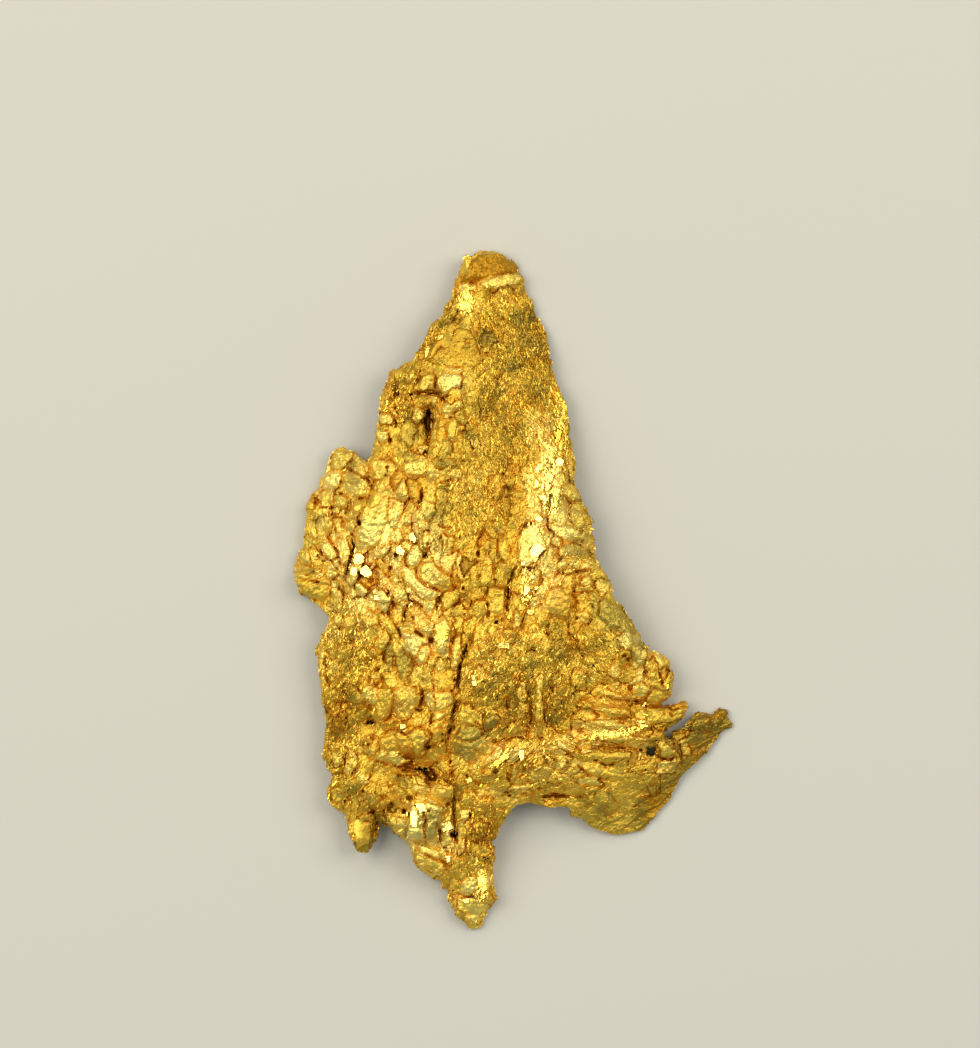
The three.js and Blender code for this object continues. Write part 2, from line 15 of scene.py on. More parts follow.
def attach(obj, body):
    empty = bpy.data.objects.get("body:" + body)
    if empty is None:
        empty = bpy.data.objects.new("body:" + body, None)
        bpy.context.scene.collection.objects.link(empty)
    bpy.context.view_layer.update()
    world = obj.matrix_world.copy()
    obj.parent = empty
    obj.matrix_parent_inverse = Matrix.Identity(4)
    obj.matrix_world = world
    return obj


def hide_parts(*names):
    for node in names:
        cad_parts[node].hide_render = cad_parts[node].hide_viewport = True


bl_info = {
    "name": "Leaf gold crystal",
    "version": (1, 0, 0),
    "blender": (4, 5, 0),
    "location": "View3D > Sidebar > Leaf gold",
    "description": "Grows a leaf of crystallised native gold over its solid, and sets its stage",
    "category": "Object",
}

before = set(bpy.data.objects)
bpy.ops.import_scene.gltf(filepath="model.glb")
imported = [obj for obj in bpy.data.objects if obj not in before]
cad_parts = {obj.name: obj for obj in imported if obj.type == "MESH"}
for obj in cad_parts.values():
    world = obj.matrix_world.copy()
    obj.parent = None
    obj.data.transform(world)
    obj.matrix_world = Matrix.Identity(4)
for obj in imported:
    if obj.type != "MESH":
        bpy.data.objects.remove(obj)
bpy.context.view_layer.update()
NODE = "gold_leaf"
MM = 0.001  # a millimetre in metres; the relief below is worked out in millimetres

# ---------------------------------------------------------------- where things grow, in mm
# How the crystals run: a place, the heading of their long side in degrees, and how far it holds.
FABRIC = [
    (-1, 14, 88, 2.5), (0.5, 10, 95, 2.5), (2, 6, 98, 2), (-3.4, 11, 66, 1.5), (-5.5, 8.5, 80, 1.6),
    (-3, 5, 84, 2), (-8.6, 5.2, 60, 1.4), (-9.4, 2, -58, 1.2), (-6.6, 3.4, 68, 1.6), (-5, -0.2, -46, 1.2),
    (-5.2, -2.8, -56, 1.0), (-3, -2.5, 76, 1.2), (0, 1, 80, 2), (3, 2, 10, 1.4), (5, -1.8, -50, 1.4),
    (1, -3.5, 60, 1.5), (1.4, -5.6, 90, 1.2), (4.8, -6.6, -6, 1.8), (5, -8.3, -4, 1.6), (7.4, -4, 70, 1),
    (5, -10.8, -8, 1.6), (8.6, -8.4, 42, 1.8), (-0.8, -8.2, 42, 1.3), (-2.4, -5.5, 70, 1.3),
    (-6, -5.2, 50, 1.6), (-8.6, -4, 84, 1.8), (-8, -9, 60, 1.6), (-5, -9.4, -30, 1), (-4.3, -11.6, 82, 1.2),
    (-4.1, -13.5, -26, 1), (-2, -14.6, 82, 1.6), (-7.6, -12, 80, 1),
]

# Zones whose crystals tip one way: centre, half sizes, turn, degrees to the left and to the far end.
TIPS = [
    (-6.9, 2.2, 3.2, 3.2, 0, 14, 4), (1.7, 6.2, 0.9, 3.8, 5, -16, 0), (1.1, 1.4, 1.0, 2.4, 10, -13, 2),
    (-2.9, 10.4, 0.9, 1.3, 0, 12, 2), (-2.3, 14.4, 0.7, 1.0, 0, 10, 4), (2.6, -7.5, 5.0, 0.8, 13, 0, 15),
    (-1.7, -15, 0.9, 1.8, 0, 12, 2), (-4.4, -11.8, 1.0, 1.3, 0, 12, 4), (0.6, -5.7, 2.2, 1.3, 0, 0, -12),
    (-5.2, -9.0, 1.2, 1.0, 0, 0, -16), (-1.0, 8.6, 1.4, 1.2, 0, 2, -10), (0.8, 13.3, 0.9, 1.6, 0, 4, -10),
    (-8.9, -5, 0.9, 2.4, 0, 0, -12), (9.2, -8.3, 3.2, 1.0, 44, 4, -14), (-4.8, 8.4, 0.8, 1.4, 0, -2, -10),
    (3.5, 3, 1.2, 2.0, 0, -8, 0), (4.8, -1.8, 2.2, 1.2, -50, -2, -4), (-8.8, 5.8, 1.2, 1.2, 0, 8, 2),
]

# Where the gold is painted brighter (+) and darker (-): partly the metal's own freshness and dullness,
# partly painted light on flanks, ridges and blocks that face a softbox, and painted shade on shaded
# sides, under ledges and on the wing's curl. Centre, half sizes, turn, share.
TONES_AND_PAINTED_LIGHT = [
    (-6.9, 1.6, 2.6, 2.6, 0, 1.2), (-8.7, 5.6, 1.2, 1.3, 0, 0.5), (1.7, 6.2, 0.8, 3.2, 5, 0.9),
    (1.0, 2.0, 0.9, 2.6, 8, 1.0), (2.6, 2.3, 1.5, 1.9, 0, 0.6), (-2.8, 10.4, 0.8, 0.8, 0, 0.4),
    (-2.2, 14.4, 0.7, 0.8, 0, 0.4), (-2.6, 12.2, 1.2, 0.9, 40, -0.5), (-0.3, 15.4, 0.9, 0.3, 10, 0.4),
    (2.6, -7.5, 4.8, 0.6, 13, 0.6), (-1.7, -15.2, 0.9, 1.3, 0, 0.7), (-4.6, -11.7, 0.8, 1.1, 0, 0.6),
    (-4.5, -2.4, 1.4, 1.2, -40, 0.3), (-0.8, 16.4, 1.3, 0.5, 0, -0.5), (1.2, 13.4, 0.9, 1.8, 10, -0.7),
    (-1.0, 8.8, 1.2, 1.0, 0, -0.5), (-4.8, 8.6, 0.8, 1.4, 0, -0.5), (9.1, -8.6, 3.0, 0.8, 47, -1.3),
    (10.4, -6.4, 1.2, 0.8, 20, -2), (6, -11.8, 2.2, 0.6, -10, -0.4), (-9.0, -5, 0.8, 2.4, 0, -0.6),
    (-5.2, -9.1, 1.3, 0.9, 0, -0.5), (1.0, -5.8, 2.2, 1.2, 0, -0.5), (3.8, -2.5, 2.2, 1.3, -30, -0.35),
    (-8.5, -9, 0.9, 2.0, 0, -0.3), (-1.2, 12.2, 1.2, 1.2, 0, -0.3), (-7.4, 1.2, 2.6, 1.1, 0, 1.15),
    (-4.6, 0.7, 1.2, 2.4, 0, 0.7), (-4.2, -12.0, 1.8, 0.9, -10, 1.1), (-9.3, -3.4, 0.5, 2.2, 0, 0.5),
    (0.9, 10.8, 1.5, 1.4, 0, -0.75), (-0.1, 4.9, 0.75, 2.9, 8, -0.6), (-3.9, 12.8, 0.7, 1.9, -30, -0.7),
    (-7.1, -12.0, 0.9, 1.3, 0, -0.9), (-1.1, -12.7, 0.7, 1.7, 0, -0.6), (7.7, -6.2, 0.9, 2.4, 0, -0.8),
    (7.4, -11.0, 1.3, 0.8, 20, -0.6), (-2.9, -9.3, 1.0, 0.6, 0, -0.7), (-7.2, 4.0, 0.9, 0.8, 0, -0.6),
]

# Where the gold is painted orange to brown (+): iron staining, and painted shade in crevices and under
# ledges; and where it is painted olive (-): a painted dark reflection of the room, on facets and on the
# wing's curl that face away from the lights. Centre, half sizes, turn, share.
STAINS_AND_SHADES = [
    (10, -6.4, 1.6, 0.9, 20, -0.7), (6.2, -2.2, 1.6, 1.0, -45, -0.5), (3.3, 3.6, 0.9, 3.0, 0, -0.35),
    (0.2, -6.3, 2.4, 0.5, 0, 0.3), (-6.6, -4, 0.8, 2.6, 0, 0.25), (-1.2, -12.5, 0.7, 2, 0, 0.3),
    (4.6, -0.6, 1.0, 0.9, 0, -0.3), (8.4, -8, 2.6, 1.4, 45, -0.4), (-2.3, 12.4, 0.35, 0.2, 20, 0.6),
    (-1.0, 4.7, 0.5, 1.3, 0, 0.8), (-1.6, 2.5, 0.35, 0.6, 0, 0.8), (0.1, 5.6, 0.35, 1.1, 8, 0.9),
    (-6.2, -0.4, 0.5, 0.3, 0, 0.7), (-7.3, 0.3, 0.45, 0.2, 0, 0.5), (-6.4, 1.2, 0.35, 0.25, 0, 0.5),
    (-4.9, -1.0, 0.35, 0.35, 0, 0.6), (2.2, -0.5, 0.55, 0.6, 0, 0.8), (-8.1, -2.7, 0.3, 0.25, 0, 0.9),
    (-7.3, -7.6, 0.4, 0.4, 0, 0.8), (-5.6, 8.6, 0.5, 1.4, 0, 0.5), (-4.9, 5.2, 0.9, 0.5, 0, 0.5),
    (-7.0, -4.4, 0.6, 0.6, 0, 0.4), (-5.8, -8.6, 1.2, 0.5, 0, 0.7), (-3.3, -7.6, 0.3, 1.6, 0, 0.7),
    (7.3, -8.4, 0.35, 0.25, 0, 0.9), (5.4, -5.6, 2.4, 0.2, -6, 0.6), (4.4, -7.9, 2.0, 0.2, 0, 0.6),
    (1.3, -7.1, 1.2, 0.4, 0, 0.4), (-1.8, -12.6, 0.8, 0.5, 0, 0.5), (-8.8, -6.2, 0.4, 0.9, 0, 0.5),
    (3.0, -0.6, 0.2, 0.8, 0, 0.8), (-2.9, -4.8, 0.3, 1.4, 0, 0.6), (-1.4, 12.6, 0.45, 0.35, 0, -0.8),
    (0.4, 13.7, 0.55, 0.4, 0, -0.8), (-0.2, 11.2, 0.6, 0.4, 0, -0.7), (1.0, 12.2, 0.6, 0.6, 0, -0.6),
    (1.4, 10.2, 0.5, 0.6, 0, -0.7), (-2.3, 7.6, 0.35, 0.6, 30, -0.9), (0.3, 7.9, 0.6, 0.3, 0, -0.7),
    (-3.4, 7.0, 0.5, 0.6, 0, -0.6), (-5.3, 7.2, 0.5, 0.6, 0, -0.5), (-3.1, 6.3, 0.7, 0.25, 0, -0.5),
    (-0.1, 5.1, 0.35, 0.35, 0, -0.8), (-2.45, 1.2, 0.35, 0.45, 0, -1.0), (-6.2, -3.6, 0.25, 0.9, 0, -0.6),
    (-5.6, -3.7, 0.35, 0.8, 0, -0.5), (-0.1, -5.4, 0.35, 0.35, 0, -1.0), (1.9, -4.8, 0.35, 0.5, 0, -0.8),
    (-1.1, -6.3, 0.5, 0.4, 0, -0.8), (-2.2, -7.5, 0.55, 0.6, 0, -0.7), (5.2, -1.9, 1.6, 0.5, -50, -0.6),
    (4.8, -11.5, 2.4, 0.7, -6, -0.5), (9.0, -8.0, 2.6, 0.7, 44, -0.6), (-4.2, -11.4, 0.8, 0.9, 0, -0.6),
    (2.3, -3.0, 0.4, 0.5, 0, -0.7), (0.2, 10.0, 0.5, 0.3, 0, -0.5), (-10.1, 0.6, 0.9, 0.6, 0, -0.4),
    (3.0, 2.9, 0.8, 0.9, 0, -0.3), (-1.6, 9.3, 0.5, 0.4, 0, -0.5),
]

# Satin flats, where a face has grown smooth: centre, half sizes, turn.
SATIN = [
    (-1.2, 16.25, 1.4, 0.75, 5), (-3.1, 12, 1.2, 1.35, -30), (-3.2, 10.45, 0.7, 0.55, 80),
    (-6.7, 3.5, 1.0, 1.3, -20), (5.0, -1.7, 1.5, 0.5, -50), (-1.1, -6.3, 0.5, 0.42, 30),
    (-2.15, -7.5, 0.65, 0.6, 40), (-5.35, 7.9, 0.5, 0.5, 0), (-3.5, 6.85, 0.5, 0.6, 0),
    (-4.8, 6.2, 0.9, 0.4, 5), (-4.35, -11.5, 0.85, 1.0, 0), (-10, 0.2, 0.9, 0.5, -20),
    (-6.3, -5.3, 0.6, 0.55, 0), (-5.2, -5.4, 0.5, 0.5, 0), (-7.6, -5.2, 0.55, 0.4, 0),
    (-3.9, -5.4, 0.42, 0.65, 0), (-5.1, 1.6, 0.3, 0.45, 0), (-5.1, -2.9, 0.85, 0.35, -54),
    (-6.1, -3.6, 0.3, 0.9, 0), (-7.6, -12.3, 0.45, 0.8, 0), (-2.2, -16.1, 0.5, 0.5, 0),
    (-2.7, 15, 0.3, 0.8, 0),
]

# Ground whose small crystals lie turned to the left light and glitter: centre, half sizes, turn.
GLITTER = [
    (1.7, 5.9, 0.4, 1.3, -4), (1.0, 2.5, 0.5, 0.9, 12), (0.6, 0.2, 0.3, 0.8, 0), (2.4, 7.9, 0.3, 0.9, 0),
    (-2.4, 14.4, 0.4, 0.6, 0), (-1.6, -14.8, 0.25, 0.7, 0), (-0.6, -8.4, 0.7, 0.2, 40),
    (5.2, -7.1, 1.4, 0.2, 8), (-3.6, -2.2, 0.3, 0.6, 0), (1.9, 4.6, 0.45, 0.9, 0), (2.6, 9.6, 0.25, 0.8, 0),
]

# Hackly ground, where the growth is fine and sharp.
HACKLY = [
    (-0.2, 11.2, 1.9, 3.6, 3), (2.1, 7, 0.7, 3.2, 6), (-0.6, 7.5, 1.6, 2, 0), (-1.8, 4.6, 1.4, 1.6, 0),
    (-8.4, -3.4, 1.2, 2.4, 0), (0.2, -4.6, 2.6, 2.4, 0), (3.6, -3.4, 1.3, 1, -20),
    (-3.9, 12.9, 1.2, 0.4, 57), (-8.6, -8.2, 0.9, 2, 0), (-1.7, -13, 0.7, 2.4, 0), (1.8, -8.6, 1.4, 1.2, 0),
    (-5.8, 9.6, 0.8, 1.2, 0),
]

# Crystal tops with clear corners: rise in mm, degrees tipped to the left and to the far end, how bright
# the top is painted (0 to 1: the metal's own freshness with painted light and painted shade), olive (-)
# painted dark reflection or orange (+) iron staining, polish (0 to 1), and the corners x, y, x, y ...
# which run counter-clockwise.
TRACED = [
    # side lobe and the left edge below it
    (0.2, 4, 0, 0.55, -0.15, 0, [-9.27, 6.13, -9, 6, -8.57, 6.03, -8.2, 6.4, -8.05, 6.86, -8.5, 7.08,
     -9, 6.93]),
    (0.2, 10, 0, 0.75, 0, 0, [-8.12, 6.2, -7.8, 5.9, -7.4, 6, -7.42, 6.38, -8.05, 6.83]),
    (0.2, 10, 2, 0.9, 0.05, 0, [-9.62, 5.46, -9.5, 5.05, -8.9, 5.05, -8.57, 5.5, -8.82, 5.92, -9.37, 5.97]),
    (0.2, 6, 0, 0.65, -0.15, 0, [-8.7, 5.85, -8.55, 5.45, -8.4, 5.05, -7.93, 4.68, -7.4, 4.72, -7.3,
     5.1, -7.55, 5.52, -8.1, 5.75]),
    (0.18, 4, 0, 0.55, -0.1, 0, [-9, 4.72, -8.9, 4.25, -8.5, 4.02, -8.25, 4.2, -8.22, 4.45, -8.5, 4.72]),
    (0.14, 4, 0, 0.5, 0.2, 0, [-9.75, 4.1, -9.27, 4.1, -9.1, 4.5, -9.12, 4.9, -9.65, 4.95, -9.7, 4.6]),
    (0.2, 4, 0, 0.5, 0, 0, [-10.45, 4, -10.15, 3.9, -10, 4.05, -10.15, 4.35, -10.45, 4.3]),
    (0.2, 10, 4, 0.75, 0, 0, [-9.3, 4.03, -9.25, 3.8, -8.75, 3.82, -8.8, 4]),
    (0.12, 7, 0, 0.7, -0.1, 0, [-7.25, 5.97, -7.03, 5.5, -6.3, 5.6, -5.95, 6, -6.1, 6.4, -6.45, 6.55,
     -7.2, 6.48]),
    (0.16, 4, 0, 0.55, 0.1, 0, [-8.2, 3.95, -7.8, 3.8, -7.45, 4.15, -7.5, 4.5, -8, 4.5]),
    (0.14, 2, 0, 0.5, -0.4, 0, [-10.55, 2.05, -9.9, 2.2, -9.5, 2.38, -9.65, 2.6, -10.53, 2.62]),
    (0.3, 8, 0, 0.75, 0, 0, [-9.8, 2.15, -9.25, 1.5, -8.98, 1.3, -8.8, 1.45, -8.9, 1.95, -9.22, 2.42,
     -9.5, 2.45]),
    (0.3, 12, 2, 0.85, 0, 0, [-8.95, 2.45, -8.72, 1.45, -8.5, 1.15, -8.27, 1.45, -8.2, 2.1, -8.35, 2.6]),
    (0.1, -8, 0, 0.5, 0.6, 0, [-8.33, 2.72, -8.2, 2.1, -8.1, 2.05, -7.97, 2.35, -7.98, 2.62]),
    (0.2, 4, 4, 0.9, 0.1, 0, [-8.18, 1.2, -7.75, 1.14, -7.7, 1.3, -8.15, 1.33]),
    (0.36, 8, 2, 1, 0, 0, [-8.46, 0.49, -8.38, 0.28, -8.17, 0.2, -7.97, 0.28, -7.88, 0.49, -7.97, 0.7,
     -8.17, 0.78, -8.38, 0.7]),
    (0.2, 8, 0, 0.8, 0, 0, [-7.1, 1.38, -7.08, 1.12, -6.8, 1.15, -6.85, 1.35]),
    (0, -6, -6, 0.25, 0.5, 0, [-6.95, 1.6, -6.8, 0.95, -6.3, 0.8, -6.05, 1.1, -6.2, 1.35, -6.6, 1.5]),
    (-0.15, -8, -8, 0.2, 0.8, 0, [-7.65, 0.5, -7.42, 0.15, -7.22, 0.1, -7.02, 0.42, -6.95, 0.65, -7.3,
     0.58]),
    (0.26, 12, 0, 0.9, 0, 0, [-7.93, 0.02, -7.6, -0.2, -7.27, -0.2, -7.42, 0.02, -7.7, 0.33, -7.92, 0.25]),
    (0.3, 14, 2, 1, 0, 0.1, [-7.02, -0.43, -6.9, -0.68, -6.65, -0.93, -6.4, -0.97, -6.2, -0.68, -6.28,
     -0.37, -6.63, -0.1, -7, -0.15]),
    (0.22, 10, 0, 0.75, 0, 0, [-8.45, -0.35, -8.3, -0.5, -8.02, -0.3, -8.08, 0.12, -8.35, 0.12]),
    (0.16, 2, 0, 0.5, -0.3, 0, [-9.15, -0.55, -8.8, -0.8, -8.55, -0.55, -8.6, -0.05, -9, -0.02]),
    (0.08, -4, -2, 0.35, 0.1, 0, [-10.95, 0.5, -10.8, -0.15, -10.15, -0.4, -9.5, -0.5, -9.3, -0.15,
     -9.35, 0.15, -10, 0.45]),
    (0.2, 6, 4, 0.6, 0, 0, [-11, 0.98, -10.95, 0.65, -10.1, 0.5, -10.05, 0.62, -10.5, 0.9]),
    (0.24, 10, 6, 0.8, 0, 0, [-10.05, 0.72, -10, 0.52, -9.75, 0.62, -9.4, 0.85, -9.5, 0.98]),
    (0.05, -6, 0, 0.4, 0.5, 0, [-9.8, 0.55, -9.7, 0.3, -9.25, 0.35, -9.4, 0.75]),
    (0.22, 6, 2, 0.65, -0.2, 0, [-10.8, 2, -10.65, 1.3, -10.2, 1.35, -10.05, 1.75, -10.35, 2.08]),
    (0.12, -4, 0, 0.35, 0.2, 0, [-10.1, 1.2, -9.75, 1.1, -9.55, 1.3, -9.75, 1.6, -10, 1.75]),
    (0.16, 8, 0, 0.65, 0, 0, [-9.5, 0.9, -9.3, 0.55, -8.85, 0.6, -8.75, 0.95, -8.95, 1.2, -9.35, 1.35]),
    (0.2, 10, 2, 0.75, 0, 0, [-9.1, 0.5, -9, 0.2, -8.65, 0.2, -8.53, 0.4, -8.75, 0.58]),
    (0.14, 7, 0, 0.7, -0.05, 0, [-8, 2.15, -7.4, 2, -6.75, 2.25, -6.35, 3.3, -6.5, 4.4, -7.5, 4.1,
     -7.95, 3]),
    (0.2, 4, 0, 0.55, 0, 0, [-8.5, 3.05, -8.1, 3, -7.95, 3.2, -8.1, 3.55, -8.5, 3.5]),
    (0.18, 8, 0, 0.7, 0, 0, [-8.95, 2.6, -8.5, 2.6, -8.3, 2.75, -8.5, 2.95, -8.95, 2.98]),
    # mirror bright flats left of the middle
    (0.32, 18, 4, 1, 0, 1, [-8.1, 1.7, -8.08, 1.38, -7.72, 1.28, -7.5, 1.42, -7.48, 1.63, -7.83, 1.86]),
    (0.26, 18, 4, 1, 0, 1, [-8.25, 0.93, -8.05, 0.74, -7.86, 0.8, -7.87, 1.16, -8.17, 1.17]),
    (0.32, 18, 4, 1, 0, 1, [-7.63, 1.05, -7.62, 0.8, -7.28, 0.6, -7.08, 0.83, -7.17, 1.06, -7.4, 1.25]),
    (0.34, 18, 4, 1, 0, 1, [-6.95, -0.28, -6.93, -0.5, -6.75, -0.48, -6.78, -0.27]),
    (0.28, 18, 4, 1, 0, 1, [-5.2, 2.5, -4.95, 2.38, -4.88, 2.6, -5, 2.85, -5.2, 2.8]),
    (0.3, 18, 4, 1, 0, 1, [-5.9, 2.1, -5.78, 1.78, -5.5, 1.78, -5.45, 1.97, -5.65, 2.25]),
    # blocks and plates left of the middle
    (0.12, 8, 0, 0.75, -0.3, 0, [-6.33, 3.7, -6.3, 3.1, -5.95, 3.1, -5.68, 3.45, -5.5, 3.8, -5.65, 4.3,
     -6.1, 4.3]),
    (0.14, 8, 0, 0.7, -0.25, 0, [-4.75, 3.75, -4.3, 3.6, -3.95, 3.9, -4.1, 4.55, -4.6, 4.5]),
    (0.02, -10, 0, 0.4, 0.6, 0, [-5.5, 3.1, -5.48, 2.4, -5.3, 2.3, -5.2, 2.6, -5.25, 3.12]),
    (0.2, 8, 0, 0.7, 0, 0, [-6.25, 2.95, -6.2, 2.35, -5.7, 2.3, -5.6, 2.6, -5.8, 3]),
    (0.32, 8, 0, 0.95, 0, 0, [-5.36, 1.4, -5.1, 1.15, -4.83, 1.22, -4.57, 1.7, -4.57, 2, -4.8, 2.25,
     -5.27, 1.9]),
    (0.24, 3, -2, 0.55, 0, 0, [-4.85, 1.1, -4.75, 0.6, -4.4, 0.3, -3.7, 0.05, -3.05, 0.15, -3.15, 0.65,
     -4.15, 1.6, -4.5, 1.45]),
    (0.22, 8, 0, 0.75, 0.1, 0, [-3.95, 1.6, -3.75, 1.25, -3.35, 0.9, -3.02, 0.72, -2.95, 1.35, -3,
     1.75, -3.45, 1.82]),
    (0.24, 14, 0, 0.85, 0, 0, [-2.92, 1.55, -2.75, 0.6, -2.6, 0.45, -2.58, 0.75, -2.8, 1.55]),
    (-0.12, -6, -8, 0.1, -1, 0, [-2.65, 1.25, -2.5, 0.68, -1.8, 1.42, -2.3, 1.5]),
    (0.2, 4, 6, 0.55, -0.2, 0, [-2.55, 0.5, -2.4, 0.4, -1.95, 1, -2.05, 1.1, -2.45, 0.75]),
    (0.28, 12, 2, 0.95, 0, 0, [-5.65, 0.8, -5.3, 0.2, -4.7, -0.45, -4, -0.45, -3.8, -0.1, -5.1, 1.05,
     -5.65, 1.2]),
    (0.14, 2, 0, 0.5, -0.4, 0, [-3.6, -0.92, -3.15, -0.9, -2.78, -0.38, -2.93, -0.05, -3.3, -0.1, -3.5,
     -0.4]),
    (0.1, -6, 0, 0.4, 0.6, 0, [-2.35, -0.5, -2.25, -0.7, -2.1, -0.6, -2.15, 0, -2.35, 0]),
    (0.22, 10, 0, 0.85, 0, 0, [-4.55, -0.85, -4.1, -1.1, -3.85, -0.8, -4, -0.45, -4.55, -0.5]),
    (0.2, 8, 0, 0.7, 0, 0, [-6.1, 0.4, -5.9, 0.3, -5.6, 0.45, -5.75, 0.75, -6.05, 0.75]),
    (0.2, 6, 0, 0.6, 0, 0, [-6, -0.4, -5.8, -0.8, -5.35, -0.5, -5.3, -0.1, -5.5, 0.3, -5.95, 0.2]),
    (0.14, 6, 0, 0.65, 0.1, 0, [-1.65, 1.7, -1.6, 1.2, -1.3, 0.9, -1.1, 1.3, -1.3, 1.75]),
    # blocks down the upper left edge
    (0.24, 10, 2, 0.85, 0, 0, [-6.85, 8.6, -6.6, 8.2, -6.2, 8.2, -5.97, 8.5, -6.05, 8.85, -6.5, 8.85]),
    (0.24, 10, 0, 0.9, 0, 0, [-7, 7.95, -6.9, 7.5, -6.5, 7.4, -6.2, 7.6, -6.3, 8, -6.7, 8.1]),
    (0.04, 0, 0, 0.45, -0.5, 0, [-5.75, 7.7, -5.6, 7.3, -5.3, 7.1, -4.95, 7.3, -4.95, 7.9, -5.2, 8.4,
     -5.55, 8.35]),
    (0.34, 10, 4, 0.9, 0, 0, [-4.95, 8.55, -4.7, 8.38, -4.55, 8.5, -4.4, 8.75, -4.5, 8.95, -4.8, 9.05,
     -4.95, 8.75]),
    (0.2, 8, 2, 0.8, 0, 0, [-3.65, 9.1, -3.5, 8.7, -3.1, 8.8, -2.65, 9.1, -2.75, 9.4, -3.3, 9.35]),
    (0.2, 8, 0, 0.85, 0, 0, [-4.15, 9.65, -4.05, 9.25, -3.8, 9.3, -3.9, 9.6]),
    (0.16, 6, 0, 0.65, 0, 0, [-3.35, 8.3, -3.3, 7.6, -2.85, 7.5, -2.7, 8, -2.95, 8.55]),
    (0.1, 2, 0, 0.55, -0.6, 0, [-2.95, 8.9, -2.8, 8.35, -2.35, 8.5, -2.45, 8.95]),
    (0.02, 2, 0, 0.5, -0.6, 0, [-3.75, 6.5, -3.4, 6.5, -3.2, 7, -3.3, 7.5, -3.6, 7.55, -3.75, 7]),
    (0.02, 0, 0, 0.45, -0.7, 0, [-5.6, 6.6, -5.45, 6.35, -5.1, 6.3, -4.85, 6.6, -5, 6.95, -5.55, 6.95]),
    (0.2, 10, 4, 0.85, 0, 0, [-5.05, 7.05, -4.8, 6.95, -4.4, 7.1, -4.4, 7.3, -4.75, 7.25]),
    (0.14, 8, 0, 0.7, 0.05, 0, [-5.6, 6, -5.3, 5.75, -4.8, 5.65, -4.35, 5.8, -4.4, 6.4, -4.9, 6.5,
     -5.5, 6.3]),
    (0.34, 10, 2, 0.95, 0, 0, [-5.85, 4.9, -5.55, 4.65, -5.3, 4.7, -5.45, 5.5, -5.75, 5.3]),
    (0, 6, 0, 0.55, 0.4, 0, [-5.35, 5.4, -5.3, 5, -5.1, 4.6, -4.75, 4.5, -4.75, 4.9, -4.85, 5.35]),
    (0.12, 4, 0, 0.6, -0.3, 0, [-4.5, 4.7, -4.35, 4.3, -3.9, 4.4, -3.8, 5, -4, 5.3, -4.4, 5.2]),
    (0.16, 8, 0, 0.75, 0, 0, [-4.4, 6.35, -4.35, 5.8, -4.2, 5.45, -3.7, 5.6, -3.85, 5.95, -4.1, 6.3]),
    (0.04, 0, -4, 0.35, -0.6, 0, [-4, 6.45, -3.9, 6.2, -3.5, 6.05, -2.9, 6.15, -2.85, 6.4, -3.4, 6.45]),
    (0.14, 6, 2, 0.7, 0, 0, [-3.5, 5.95, -3.4, 5.6, -2.7, 5.6, -2.6, 5.9, -2.9, 6]),
    (0.2, 10, 0, 0.85, 0, 0, [-5.78, 8.1, -5.6, 8.1, -5.62, 8.45, -5.78, 8.4]),
    (0.12, -2, -4, 0.3, -0.1, 0, [-5, 9.6, -4.95, 9.3, -4.6, 9.1, -4.2, 9.1, -4.2, 9.5, -4.6, 9.7]),
    (0.1, 0, 0, 0.45, 0.4, 0, [-4.1, 8.1, -3.8, 8, -3.5, 8.3, -3.65, 8.7, -4.1, 8.95]),
    (0.1, 4, 0, 0.6, -0.1, 0, [-4.2, 7.7, -4.05, 7.4, -3.8, 7.6, -3.85, 8, -4.15, 8.05]),
    (0.3, 8, 0, 0.75, 0, 0, [-4.75, 10.05, -4.5, 9.85, -4.25, 9.95, -4.1, 10.3, -4, 10.7, -4.2, 10.85,
     -4.6, 10.75, -4.7, 10.4]),
    (0.24, 12, 0, 1, 0, 0, [-3.85, 10.2, -3.7, 9.78, -3.35, 9.8, -2.9, 10.1, -2.5, 10.5, -2.7, 10.75,
     -3.4, 10.85, -3.85, 10.65]),
    (0.08, 1, -3, 0.3, 0.1, 0, [-4, 11.5, -3.6, 11.15, -2.6, 11.1, -2, 11.1, -1.55, 11.5, -1.9, 12.5,
     -2.4, 13.2, -3.2, 12.5]),
    (0.12, 8, -2, 0.85, 0, 0, [-3.5, 11.12, -3.4, 10.9, -2.6, 10.78, -2.4, 10.9, -2.55, 11.1]),
    (0.2, 14, 2, 1, 0, 0.3, [-4.45, 12.1, -4.4, 11.65, -4.2, 11.7, -4.25, 12.15]),
    (0.2, 14, 2, 1, 0, 0.3, [-3.95, 12.6, -3.9, 12.45, -3.55, 12.6, -3.6, 12.75]),
    (0.02, -2, -4, 0.3, -0.7, 0, [-1.8, 12.6, -1.6, 12.2, -1.2, 12.15, -0.85, 12.4, -1, 12.8, -1.5, 12.9]),
    (0.2, 14, 2, 1, 0, 0.3, [-2.75, 14.3, -2.7, 14, -2.2, 13.95, -2.1, 14.2, -2.4, 14.4]),
    (0.22, 16, 4, 1, 0, 0.6, [-2.45, 14.75, -2.4, 14.5, -2.1, 14.55, -2.2, 14.8]),
    (0.2, 10, 0, 0.9, 0, 0, [-0.75, 10.2, -0.55, 9.95, -0.4, 10.1, -0.45, 10.5, -0.75, 10.45]),
    (0.16, 12, 4, 0.9, 0, 0, [-1.55, 11.92, -1.48, 11.85, -1.15, 12.18, -1.22, 12.22]),
    # tip: satin cap, and the lip rolled under it
    (0.1, -1, -1, 0, 0.3, 0, [-2.6, 15.4, -1.7, 15.55, 0.1, 15.95, 0.2, 16.4, -0.4, 17, -1.6, 16.9,
     -2.3, 16.2]),
    (0.16, 6, 4, 0.75, 0.05, 0, [-1.7, 15.5, -1.6, 15.1, -0.8, 15.05, 0.1, 15.25, 0.45, 15.6, 0.1,
     15.9, -0.9, 15.7]),
